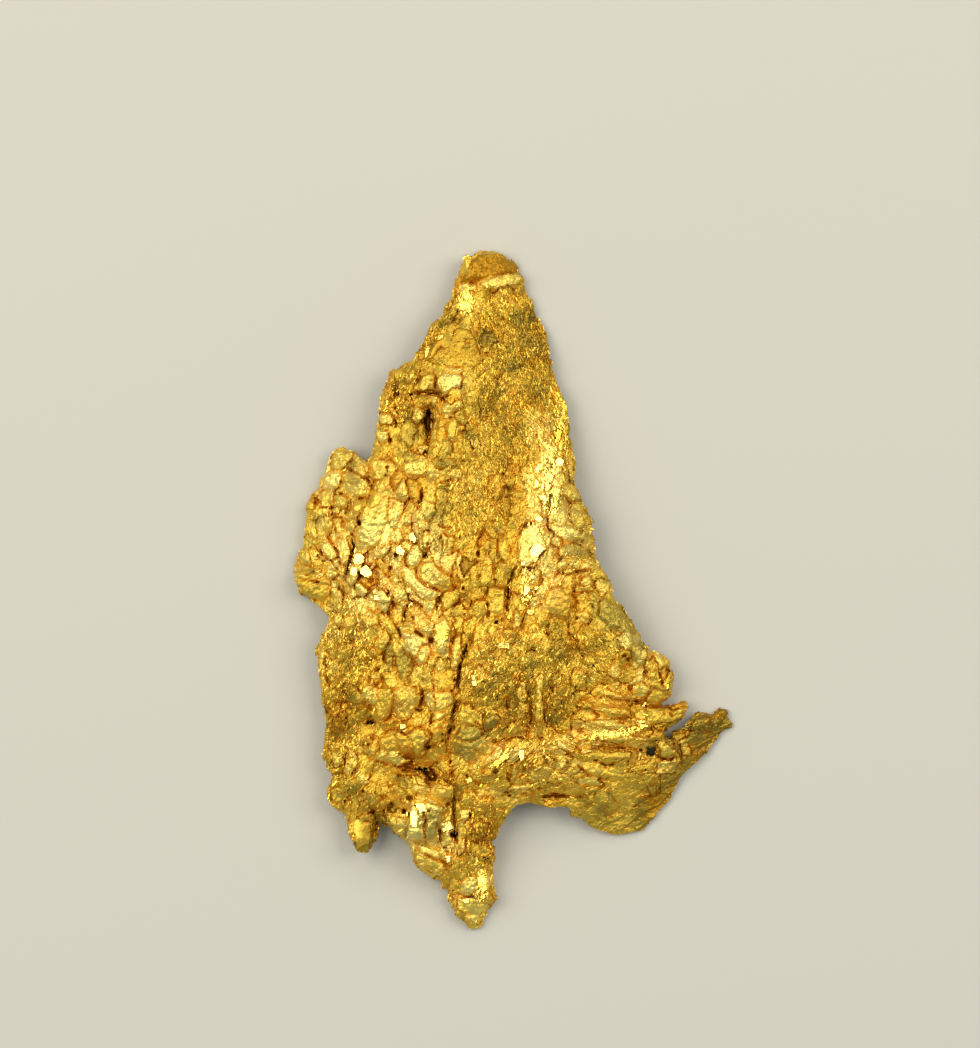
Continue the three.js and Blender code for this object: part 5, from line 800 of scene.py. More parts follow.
def mosaic(x, y, size, seed, aspect):
    """Packs crystals of one size all over.

    Gives for each point: its own crystal's height from 0 to 1, the lean of that crystal's top there,
    and the gap to the next crystal, in sizes.
    """
    reach_x, reach_y = int(MOSAIC_WIDE / size) + 3, int(MOSAIC_LONG / size) + 3
    columns, rows = np.arange(-reach_x, reach_x + 1), np.arange(-reach_y, reach_y + 1)
    i, j = np.meshgrid(columns, rows, indexing="ij")
    # Seeds stand on a jittered grid. Each has its own heading, stretch, height and lean.
    sx = (i + 0.5 + 0.8 * (scatter(i, j, seed) - 0.5)) * size
    sy = (j + 0.5 + 0.8 * (scatter(i, j, seed + 1) - 0.5)) * size
    angle = fabric(sx, sy) + 0.5 * (scatter(i, j, seed + 2) - 0.5)
    stretch = np.sqrt(1 + (aspect - 1) * (0.5 + scatter(i, j, seed + 3)))
    height = scatter(i, j, seed + 4)
    lean_u, lean_v = scatter(i, j, seed + 5) - 0.5, scatter(i, j, seed + 6) - 0.5
    # Each point belongs to the seed that is nearest, as that seed's stretch measures it.
    here_i, here_j = np.floor(x / size).astype(int), np.floor(y / size).astype(int)
    first, second = np.full_like(x, 1e9), np.full_like(x, 1e9)
    tall, lean = np.zeros_like(x), np.zeros_like(x)
    for di in range(-2, 3):
        for dj in range(-2, 3):
            a = np.clip(here_i + di + reach_x, 0, 2 * reach_x)
            b = np.clip(here_j + dj + reach_y, 0, 2 * reach_y)
            dx, dy, t = (x - sx[a, b]) / size, (y - sy[a, b]) / size, angle[a, b]
            u = (dx * np.cos(t) + dy * np.sin(t)) / stretch[a, b]
            v = (dy * np.cos(t) - dx * np.sin(t)) * stretch[a, b]
            away = np.sqrt(u * u + v * v)
            nearer = away < first
            second = np.where(nearer, first, np.minimum(second, away))
            first = np.where(nearer, away, first)
            tall = np.where(nearer, height[a, b], tall)
            lean = np.where(nearer, lean_u[a, b] * u + lean_v[a, b] * v, lean)
    return tall, lean, second - first


def scales(x, y, size, seed, aspect, step_height, slant, seam_depth, seam_width):
    """The relief of packed scales in mm: their heights, their lean and the seams between them."""
    tall, lean, gap = mosaic(x, y, size, seed, aspect)
    return step_height * (tall - 0.5) + slant * lean - seam_depth * np.exp(-((gap / seam_width) ** 2))


def fillers(spacing, seed, on_hackly):
    """Small crystals that fill the ground between the listed ones, along the fabric."""
    columns, rows = int(FILL_WIDE / spacing), int(FILL_LONG / spacing)
    i, j = np.meshgrid(np.arange(-columns, columns), np.arange(-rows, rows))
    i, j = i.ravel(), j.ravel()
    x = (i + 1.1 * scatter(i, j, seed)) * spacing
    y = (j + 1.1 * scatter(i, j, seed + 1)) * spacing
    keep = (patches(x, y, HACKLY, ZONE_EDGE) >= 0.5) == on_hackly
    keep &= wing_share(x, y) < 0.5
    for cx, cy, length, width, turn, _, _ in CRYSTALS:
        u, v = turned(x, y, cx, cy, turn)
        keep &= np.hypot(u / (0.5 * length), v / (0.5 * width)) > 1.0
    for *_, corners in TRACED:
        keep &= beyond(x, y, corners) > FILLER_CLEARANCE
    turn = np.degrees(fabric(x, y)) + 60 * (scatter(i, j, seed + 2) - 0.5)
    length = spacing * (1.2 + 1.6 * scatter(i, j, seed + 3) ** 2)
    width = spacing * (0.5 + 0.4 * scatter(i, j, seed + 4))
    rise = 0.24 * spacing * (scatter(i, j, seed + 5) - 0.2)
    lean = 26 * (scatter(i, j, seed + 6) - 0.5)
    return list(zip(*(a[keep].tolist() for a in (x, y, length, width, turn, rise, lean))))


# ---------------------------------------------------------------- crystal tops, listed or filling
REACH = 0.6  # mm beyond its sides that a crystal still holds the ground
TIP_LIMIT = 0.25  # mm that a tipped top may rise over its middle or fall under it
TRACED_RISE = 0.7  # share of a traced top's rise that is built
MIRROR = 0.25  # a top with more polish than this is a true plane with a sharp edge
MIRROR_GROWTH = 0.03  # mm that such a top spreads over its neighbours
FACING_LEFT = (0.3, -0.1)  # slopes, along X and Y, of a facet that sends the left light up
FILLER_MARK = 0.25  # how marked a filler's edges are; those of the listed crystals are 1


def near(x, y, points, margin):
    """The points within a margin of a path's box. The points come sorted by y."""
    px, py = [p[0] for p in points], [p[1] for p in points]
    low, high = np.searchsorted(y, (min(py) - margin, max(py) + margin))
    inside = (x[low:high] > min(px) - margin) & (x[low:high] < max(px) + margin)
    return low + np.flatnonzero(inside)


def paired(corners):
    """Corners x, y, x, y ... as points (x, y)."""
    return list(zip(corners[::2], corners[1::2]))


def beyond(x, y, corners):
    """How far each point lies beyond the sides of a top, in mm; negative inside."""
    away = np.full_like(x, -9.0)
    ends = paired(corners)
    for (x0, y0), (x1, y1) in zip(ends, ends[1:] + ends[:1]):
        side = ((y1 - y0) * (x - x0) - (x1 - x0) * (y - y0)) / math.hypot(x1 - x0, y1 - y0)
        away = np.maximum(away, side)
    return away


def blocky_top(x, y, wander, number, crystal, left, far_end):
    """A blocky crystal with 5 to 7 sides and a top like a low roof.

    Gives the points near it, how far they lie beyond its sides, and its height there.
    """
    cx, cy, length, width, turn, rise, lean = crystal
    k = near(x, y, [(cx, cy)], 0.62 * max(length, width) + 0.3)
    u, v = turned(x[k] + wander[0][k], y[k] + wander[1][k], cx, cy, turn)
    sides = 5 + number % 3
    away = np.full_like(u, -9.0)
    for side in range(sides):
        heading = 2 * math.pi * (side + 0.6 * scatter(side, number, 5)) / sides
        a, b = 2 * math.cos(heading) / length, 2 * math.sin(heading) / width
        size = 0.84 + 0.22 * scatter(side, number, 6)
        away = np.maximum(away, (u * a + v * b - size) / math.hypot(a, b))
    slope_x = math.tan(math.radians(lean)) + left
    slope_y = 0.3 * (scatter(number, 3, 6) - 0.5) - far_end
    roof = 0.18 * scatter(number, 7, 8) * np.abs(v - 0.3 * width * (scatter(number, 8, 8) - 0.5))
    tip = slope_x * (x[k] - cx) + slope_y * (y[k] - cy) - roof
    return k, away, rise + np.clip(tip, -TIP_LIMIT, TIP_LIMIT)


def traced_top(x, y, wander, under, traced):
    """A flat top with clear corners, or a mirror facet. Gives what blocky_top gives.

    A mirror facet is a true plane: what the leaf under it rises and falls is taken away again.
    """
    rise, to_left, to_far, _, _, polish, corners = traced
    ends = paired(corners)
    cx, cy = np.mean(ends, axis=0)
    k = near(x, y, ends, 0.4)
    mirror = polish > MIRROR
    shake = 0.4 if mirror else 0.8
    away = beyond(x[k] + shake * wander[0][k], y[k] + shake * wander[1][k], corners)
    slope_x, slope_y = math.tan(math.radians(to_left)), -math.tan(math.radians(to_far))
    if mirror:
        away = np.where(away < MIRROR_GROWTH, away - 2, away + 2)
        slope_x, slope_y = FACING_LEFT
    tip = slope_x * (x[k] - cx) + slope_y * (y[k] - cy)
    if mirror and np.any(away < 0):
        tip -= np.nan_to_num(under[k] - np.nanmean(under[k][away < 0]))
    return k, away, TRACED_RISE * rise + np.clip(tip, -TIP_LIMIT, TIP_LIMIT)


class Packing:
    """Crystals packed side by side. A point belongs to the one whose sides it lies deepest within."""

    def __init__(self, x):
        self.edge = np.full_like(x, REACH)  # mm that a point lies beyond its own crystal's sides
        self.next_edge = np.full_like(x, 2 * REACH)  # the same for the next crystal
        self.top = np.zeros_like(x)  # the height of its own crystal's top
        self.room = np.full_like(x, 0.2)  # how wide that crystal's worn edge is
        self.mark = np.zeros_like(x)  # how marked its edges are
        self.next_mark = np.zeros_like(x)
        self.clear = np.zeros_like(x)  # 1 where a traced top holds the point
        self.looks = {name: np.zeros_like(x) for name in ("fresh_and_lit", "tint_and_reflection", "polish")}

    def settle(self, k, away, height, room, mark, looks=None):
        """Gives a crystal those of the points k that lie deeper within it than within any so far."""
        mine = away < self.edge[k]
        runner_up = np.where(away < self.next_edge[k], mark, self.next_mark[k])
        self.next_mark[k] = np.where(mine, self.mark[k], runner_up)
        self.mark[k] = np.where(mine, mark, self.mark[k])
        self.next_edge[k] = np.where(mine, self.edge[k], np.minimum(self.next_edge[k], away))
        self.edge[k] = np.where(mine, away, self.edge[k])
        self.top[k] = np.where(mine, height, self.top[k])
        self.room[k] = np.where(mine, room, self.room[k])
        self.clear[k] = np.where(mine, looks is not None, self.clear[k])
        for name, values in self.looks.items():
            values[k] = np.where(mine, looks[name] if looks else 0, values[k])


def stand_crystals(x, y, crystals, wander, under):
    """Packs the blocky crystals, and then the traced tops over them."""
    packing = Packing(x)
    left, far_end = tips(np.array([c[0] for c in crystals]), np.array([c[1] for c in crystals]))
    for number, crystal in enumerate(crystals):
        k, away, height = blocky_top(x, y, wander, number, crystal, left[number], far_end[number])
        width = crystal[3]
        mark = 1.0 if number < len(CRYSTALS) else FILLER_MARK
        packing.settle(k, away, height, min(0.16, 0.4 * width), mark)
    for traced in TRACED:
        k, away, height = traced_top(x, y, wander, under, traced)
        fresh_and_lit, tint_and_reflection, polish = traced[3:6]
        looks = {"fresh_and_lit": fresh_and_lit, "tint_and_reflection": tint_and_reflection, "polish": polish}
        packing.settle(k, away, height, 0.12, 1.0, looks)
    return packing


# ---------------------------------------------------------------- the relief of the face and the back
WORN_EDGE = 0.07  # mm worn off a crystal's edges
SEAM_DEPTH, SEAM_WIDTH = 0.075, 0.06  # mm, the seam between two crystals
OPEN_GROUND = 0.05  # mm that the ground between crystals lies lower
CRACK_SHARE = 0.48  # share of a crack's depth that is cut, so that it stays off the back
PIT_SHARE = 0.8
CRACK_STAIN_AND_SHADE = 0.8  # share of a crack's iron staining and painted shade that shows
DEEPEST = -0.45  # mm; deeper than this a crack would come near the back where the leaf is thin
FULL_HOLLOW = 0.3  # mm under the smooth leaf where a hollow gets its full orange brown, iron staining and painted shade
LAMINA = 0.55  # mm between the edges of the wing's laminae
LAMINA_RISE, LAMINA_FALL = 0.82, 0.18  # shares of a lamina that rise gently and that break off


def path_distance(x, y, path):
    """Distance to a path of straight stretches, and how far along it, from 0 to 1."""
    nearest, share = np.full_like(x, 1e9), np.zeros_like(x)
    for k, ((x0, y0), (x1, y1)) in enumerate(zip(path, path[1:])):
        dx, dy = x1 - x0, y1 - y0
        t = np.clip(((x - x0) * dx + (y - y0) * dy) / (dx * dx + dy * dy), 0, 1)
        away = np.hypot(x - x0 - t * dx, y - y0 - t * dy)
        share = np.where(away < nearest, (k + t) / (len(path) - 1), share)
        nearest = np.minimum(nearest, away)
    return nearest, share


def open_cracks(x, y, relief):
    """Cuts the cracks and pits into the relief, and tells how dark each point is painted by them, 0 to 2:
    iron staining and painted shade.
    """
    stained_and_shaded = np.zeros_like(x)
    for width, depth, dark, corners in CRACKS:
        path = paired(corners)
        k = near(x, y, path, 3 * width + 0.1)
        wander = 0.04 * lumps(x[k], y[k], 0.3, 31) + 0.02 * lumps(x[k], y[k], 0.12, 32)
        away, share = path_distance(x[k] + wander, y[k] - wander, path)
        taper = np.sqrt(np.clip(np.sin(math.pi * (0.06 + 0.88 * share)), 0, 1))
        cut = 1 - step(away, 0.1 * width, 0.55 * width * taper + 0.03)
        tinted = 1 - step(away, 0.1 * width, 0.9 * width * taper + 0.05)
        relief[k] -= CRACK_SHARE * depth * taper * cut
        stained_and_shaded[k] = np.maximum(stained_and_shaded[k], CRACK_STAIN_AND_SHADE * dark * tinted)
    for cx, cy, half_u, half_v, turn, depth, dark in PITS:
        k = near(x, y, [(cx, cy)], 2.2 * max(half_u, half_v) + 0.1)
        u, v = turned(x[k], y[k], cx, cy, turn)
        reach = np.sqrt((u / half_u) ** 2 + (v / half_v) ** 2) + 0.25 * lumps(x[k], y[k], 0.2, 33)
        relief[k] -= PIT_SHARE * depth * (1 - step(reach, 0.4, 1.35))
        stained_and_shaded[k] = np.maximum(stained_and_shaded[k], dark * (1 - step(reach, 0.6, 1.6)))
    return relief, stained_and_shaded


def satin_share(x, y):
    """How far each point lies on a satin flat, whose edge is ragged."""
    ragged = 0.25 * lumps(x, y, 0.5, 21) + 0.12 * lumps(x, y, 0.2, 22)
    return patches(x + ragged, y + 0.2 * lumps(x, y, 0.4, 23), SATIN, ZONE_EDGE)


def across_wing(x, y):
    """How far each point lies towards the wing's curled side, in mm."""
    return 0.57 * x - 0.82 * y


def wing_share(x, y):
    """How far each point lies on the thin wing, from 0 to 1."""
    return step(across_wing(x, y), 10.6, 12.4) * step(x, 1.5, 3)


def laminations(x, y):
    """The wing's sheet is laid down in thin wavy laminae that follow its curl."""
    curl = across_wing(x, y) + 0.5 * lumps(x, y, 3.5, 41) + 0.12 * lumps(x, y, 0.9, 42)
    wave = curl / LAMINA
    ramp = wave - np.floor(wave)
    return np.where(ramp < LAMINA_RISE, ramp / LAMINA_RISE, (1 - ramp) / LAMINA_FALL) - 0.5


def face_relief(x, y, under, strength):
    """How far the face stands over the smooth leaf, in mm, and the looks that go with it.

    The smooth leaf's own height comes in under.
    """
    satin = satin_share(x, y)
    hackly = patches(x, y, HACKLY, ZONE_EDGE) * (1 - satin)
    wing = wing_share(x, y)
    wander = [0.05 * lumps(x, y, 0.4, seed) + 0.03 * lumps(x, y, 0.17, seed + 1) for seed in (11, 13)]
    crystals = CRYSTALS + fillers(0.62, 501, on_hackly=False) + fillers(0.36, 601, on_hackly=True)
    packing = stand_crystals(x, y, crystals, wander, under)
    clear, polish = packing.clear, packing.looks["polish"]

    # Crystals stand out less on a satin flat and on the wing, and mirror facets stay clean.
    flat = np.maximum(satin * (1 - clear), 0)
    rough = (1 - 0.5 * flat) * (1 - 0.2 * wing) * (1 - 0.3 * clear) * (1 - 0.9 * polish)
    marked = np.maximum(packing.mark, packing.next_mark) * (1 - 0.85 * flat)
    worn = WORN_EDGE * marked * (1 - step(-packing.edge / packing.room, -0.2, 1))
    closed = step(lumps(x, y, 0.7, 16) + 0.5 * lumps(x, y, 0.3, 20), -0.7, 0.6)
    gap = packing.next_edge - packing.edge
    seam = SEAM_DEPTH * closed * np.exp(-((gap / SEAM_WIDTH) ** 2))
    groove = marked * (seam + OPEN_GROUND * step(packing.edge, 0.0, 0.16))

    relief = (packing.top * (1 - 0.7 * flat) - worn) * (1 - 0.6 * wing) - groove * (1 - 0.8 * wing)
    relief += 0.04 * clear * lumps(x, y, 0.16, 19) * (1 - polish)
    middle = scales(x + wander[0], y + wander[1], *MIDDLE_SCALES)
    small = scales(x + wander[1], y, *SMALL_SCALES)
    relief += rough * ((0.65 + 0.1 * hackly) * middle + (0.3 + 0.5 * hackly) * small)
    relief += 0.08 * wing * laminations(x, y) + 0.03 * (1 - clear) * lumps(x, y, 0.5, 18)
    relief, stained_and_shaded = open_cracks(x, y, relief)
    # Painted shade: the deeper a point lies under the smooth leaf or in a seam, the more orange brown it
    # gets.
    hollow = np.clip(np.maximum(-relief, 2.6 * groove) / FULL_HOLLOW, 0, 1)
    own = {**packing.looks, "clear": clear, "satin": satin, "hollow": np.maximum(hollow, stained_and_shaded)}
    return strength * np.maximum(relief, DEEPEST), own


def back_relief(x, y, strength):
    """The back is plainer: broad blocks, worn lower, with finer scales between them."""
    relief = scales(x + 0.2 * lumps(x, y, 0.7, 81), y, *BACK_BLOCKS)
    relief += scales(x, y + 0.1 * lumps(x, y, 0.5, 82), *BACK_SCALES)
    relief += 0.03 * lumps(x, y, 0.2, 83)
    return strength * relief * (1 - 0.7 * wing_share(x, y))


# ---------------------------------------------------------------- meshes
# What each vertex keeps for the gold's nodes and for the crust. The hollow value, iron staining with
# painted shade in the recesses, runs from 0 to 2; the tint, from olive painted reflection to orange
# staining and painted shade, from about -1 to 1; the others from 0 to 1, the brightness among them with
# its painted light and painted shade.
LOOKS = ("hollow", "fresh_and_lit", "stain_and_shade", "polish", "clear", "smooth")
FACE_SLOPE = 0.05  # a part of the leaf whose normal rises more than this belongs to its face
CUT = -1.2 * MM  # where along Y the leaf is parted into a far and a near half

# A crystallite: a block with a smaller top, as corners and faces.
BLOCK_TOP = 0.7
BLOCK = np.array([
    (-1, -1, -1), (1, -1, -1), (1, 1, -1), (-1, 1, -1),
    (-BLOCK_TOP, -BLOCK_TOP, 1), (BLOCK_TOP, -BLOCK_TOP, 1),
    (BLOCK_TOP, BLOCK_TOP, 1), (-BLOCK_TOP, BLOCK_TOP, 1),
])
BLOCK_FACES = np.array([(3, 2, 1, 0), (4, 5, 6, 7), (0, 1, 5, 4), (1, 2, 6, 5), (2, 3, 7, 6), (3, 0, 4, 7)])
BLOCK_LENGTH, BLOCK_WIDTH, BLOCK_HEIGHT = 0.1, 0.026, 0.03  # mm, half of a usual crystallite's sizes


def read(items, what):
    """The places or normals of vertices or faces, as rows of three numbers."""
    values = np.empty(len(items) * 3)
    items.foreach_get(what, values)
    return values.reshape(-1, 3)


def store(mesh, name, values):
    """Keeps a number for each vertex."""
    layer = mesh.attributes.new(name, "FLOAT", "POINT")
    layer.data.foreach_set("value", np.asarray(values, np.float32))


def held(mesh, name):
    """The numbers kept with store."""
    values = np.empty(len(mesh.vertices), np.float32)
    mesh.attributes[name].data.foreach_get("value", values)
    return values


def put(name, data):
    """Puts a new object in the scene."""
    obj = bpy.data.objects.new(name, data)
    bpy.context.scene.collection.objects.link(obj)
    return obj


def apply_modifiers(obj):
    """Makes the mesh that the modifiers give the object's own, and takes them off."""
    shaped = obj.evaluated_get(bpy.context.evaluated_depsgraph_get())
    mesh = bpy.data.meshes.new_from_object(shaped)
    obj.modifiers.clear()
    obj.data = mesh


def fine_leaf(name, voxel):
    """A fine copy of the solid, in mm, with its facets smoothed in height alone, so its outline stays."""
    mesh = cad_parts[NODE].data.copy()
    mesh.transform(Matrix.Scale(1 / MM, 4))
    obj = put(name, mesh)
    remesh = obj.modifiers.new("even grain", "REMESH")
    remesh.mode, remesh.voxel_size = "VOXEL", voxel
    smooth = obj.modifiers.new("worn facets", "SMOOTH")
    smooth.use_x = smooth.use_y = False
    smooth.factor, smooth.iterations = 0.5, round(0.9 / voxel**2)
    apply_modifiers(obj)
    return obj


def grow(mesh, settings):
    """Gives the fine leaf its relief, on its face, its back and its rim, and each point its looks."""
    place = read(mesh.vertices, "co")
    normal = read(mesh.vertices, "normal")
    order = np.argsort(place[:, 1])  # near wants the points sorted by y
    place, normal = place[order], normal[order]
    x, y = place[:, 0].copy(), place[:, 1].copy()
    under = np.where(normal[:, 2] > 0.3, place[:, 2], np.nan)
    face, own = face_relief(x, y, under, settings.relief)
    back = back_relief(x, y, settings.relief)
    up = step(normal[:, 2], 0.15, 0.6)
    down = step(-normal[:, 2], 0.15, 0.6)
    rim = 1 - np.maximum(up, down)
    place[:, 2] += face * up - back * down
    knobs = 0.07 * lumps(x, y + place[:, 2], 0.45, 91) + 0.04 * lumps(x, y - place[:, 2], 0.2, 92)
    place[:, 0] += knobs * normal[:, 0] * rim
    place[:, 1] += knobs * normal[:, 1] * rim
    place[:, 2] = np.maximum(place[:, 2], 0)  # the floor

    above = normal[:, 2] > 0
    satin, clear = own["satin"] * up, own["clear"] * up
    # Painted light and shade: the listed zones and the traced tops make the gold paler where light falls and
    # duller where shade falls.
    fresh_and_lit = np.clip((1 - 0.5 * clear) * tone_and_painted_light(x, y) + clear * (0.8 * own["fresh_and_lit"] - 0.15), 0, 1)
    looks = {
        # On the back the hollow value is painted shade in its recesses.
        "hollow": np.where(above, own["hollow"], np.clip(-back / FULL_HOLLOW, 0, 1)),
        "fresh_and_lit": np.where(above, fresh_and_lit, 0.45 + 0.2 * lumps(x, y, 1.5, 28)),
        "stain_and_shade": (1 - 0.6 * clear) * stain_and_shade(x, y) + clear * own["tint_and_reflection"],
        "polish": np.maximum(0.1 * satin + 0.15 * step(fresh_and_lit, 0.6, 1), 0.95 * own["polish"] * up),
        "clear": clear,
        "smooth": satin * (1 - clear),
    }
    unsorted = np.empty_like(order)
    unsorted[order] = np.arange(len(order))
    mesh.vertices.foreach_set("co", (place[unsorted] * MM).ravel())
    for name in LOOKS:
        store(mesh, name, looks[name][unsorted])
    mesh.update()


def part(whole, name, wanted):
    """Makes a piece of its own from the wanted faces of the fine leaf. All its faces are quads."""
    corners = np.empty(len(whole.loops), np.int32)
    whole.loops.foreach_get("vertex_index", corners)
    quads = corners.reshape(-1, 4)[wanted]
    used, renumbered = np.unique(quads, return_inverse=True)
    mesh = bpy.data.meshes.new(name)
    place = read(whole.vertices, "co")[used]
    mesh.from_pydata(place.tolist(), [], renumbered.reshape(-1, 4).tolist())
    for look in LOOKS:
        store(mesh, look, held(whole, look)[used])
    smooth = held(whole, "smooth")[quads].mean(axis=1) > 0.5
    mesh.polygons.foreach_set("use_smooth", smooth)
    return put(name, mesh)


def crust(name, pieces, count, share, seed):
    """Sets many small blocky crystallites into the leaf, leaning along its fabric, as one mesh."""
    place = np.concatenate([read(piece.data.vertices, "co") for piece in pieces]) / MM
    normal = np.concatenate([read(piece.data.vertices, "normal") for piece in pieces])
    clear = np.concatenate([held(piece.data, "clear") for piece in pieces])
    polish = np.concatenate([held(piece.data, "polish") for piece in pieces])
    glitter = patches(place[:, 0], place[:, 1], GLITTER, ZONE_EDGE)
    weight = share(place, normal) * (1 - 0.85 * clear * (1 - glitter)) * (1 - step(polish, 0.8, 0.95))
    chance = scatter(np.arange(len(place)), seed, seed)
    chosen = np.argsort(chance / np.maximum(weight, 1e-9))[:count]
    chosen = chosen[weight[chosen] > 0.01]
    place, normal, glitter = place[chosen], normal[chosen], glitter[chosen]
    x, y = place[:, 0], place[:, 1]
    n = np.arange(len(chosen))

    def pick(k):
        return scatter(n, k, seed)

    heading = fabric(x, y) + 1.2 * (pick(1) - 0.5)
    along = np.stack([np.cos(heading), np.sin(heading), 0 * heading], 1)
    up = normal + 0.8 * (np.stack([pick(2), pick(3), pick(4)], 1) - 0.5)
    left, far_end = tips(x, y)
    up += np.stack([-left, far_end, 0.35 * np.sign(normal[:, 2])], 1)
    lit = (glitter > pick(11)) & (normal[:, 2] > 0)
    up[lit] = np.array([-FACING_LEFT[0], -FACING_LEFT[1], 1]) + 0.25 * (up[lit] - normal[lit])
    up /= np.linalg.norm(up, axis=1, keepdims=True)
    side = np.cross(up, along)
    side /= np.linalg.norm(side, axis=1, keepdims=True)
    along = np.cross(side, up)

    size = 0.75 + 0.7 * pick(5) ** 3
    length = BLOCK_LENGTH * size * (0.4 + 1.4 * pick(6))
    width = BLOCK_WIDTH * size * (0.7 + 0.8 * pick(7))
    corners = BLOCK[None] * np.stack([length, width, BLOCK_HEIGHT * size], 1)[:, None]
    points = (
        place[:, None]
        + corners[..., :1] * along[:, None]
        + corners[..., 1:2] * side[:, None]
        + corners[..., 2:] * up[:, None]
    )
    points[..., 2] = np.maximum(points[..., 2], 0)  # the floor
    faces = BLOCK_FACES[None] + len(BLOCK) * n[:, None, None]
    mesh = bpy.data.meshes.new(name)
    mesh.from_pydata((points.reshape(-1, 3) * MM).tolist(), [], faces.reshape(-1, 4).tolist())
    # The crystallites take the leaf's painted light and shade, its iron staining and its painted olive
    # reflection.
    looks = {
        "polish": np.maximum(pick(8) ** 2, 0.9 * lit),
        "fresh_and_lit": np.clip(tone_and_painted_light(x, y) + 0.3 * (pick(9) - 0.5), 0, 1),
        "stain_and_shade": stain_and_shade(x, y) + 0.5 * (pick(10) - 0.5),
    }
    for look, values in looks.items():
        store(mesh, look, np.repeat(values, len(BLOCK)))
    return put(name, mesh)


def share_on_face(place, normal):
    """Where the face's crust grows: on hackly and glittering ground, hardly on flats and the wing."""
    x, y = place[:, 0], place[:, 1]
    rough = (1 - 0.97 * satin_share(x, y)) * (1 - 0.7 * wing_share(x, y))
    rough = rough * (0.08 + patches(x, y, HACKLY, ZONE_EDGE))
    return (rough + 0.9 * patches(x, y, GLITTER, ZONE_EDGE)) * (normal[:, 2] > 0.35)


def share_on_back(place, normal):
    """Where the back's crust grows: all over, but hardly on the wing, and not where it rests."""
    return (1 - 0.9 * wing_share(place[:, 0], place[:, 1])) * (place[:, 2] > 0.15)


# ---------------------------------------------------------------- gold
GOLD = "native_gold_as_grown"
GRAIN = 0.125 * MM  # width of the sugary grain; the real one is finer, and this is what still shows
SCALE = 0.1 * MM  # width of the smallest flat scales, drawn as coarse as they need to show
BUMP = 0.03 * MM  # how deep both are


def linear(colour):
    """An sRGB hex colour as linear red, green, blue and alpha."""
    parts = [int(colour[k : k + 2], 16) / 255 for k in (1, 3, 5)]
    return [c / 12.92 if c <= 0.04045 else ((c + 0.055) / 1.055) ** 2.4 for c in parts] + [1.0]


def add(tree, kind, inputs=None, **settings):
    """Adds a node with its settings. Each input gets its value, or a link where an output is given.

    The two colours of a Mix node go by number: 6 is what it starts from, 7 what it goes to.
    """
    node = tree.nodes.new(kind)
    for name, value in settings.items():
        setattr(node, name, value)
    for name, value in (inputs or {}).items():
        if isinstance(value, bpy.types.NodeSocket):
            tree.links.new(value, node.inputs[name])
        else:
            node.inputs[name].default_value = value
    return node


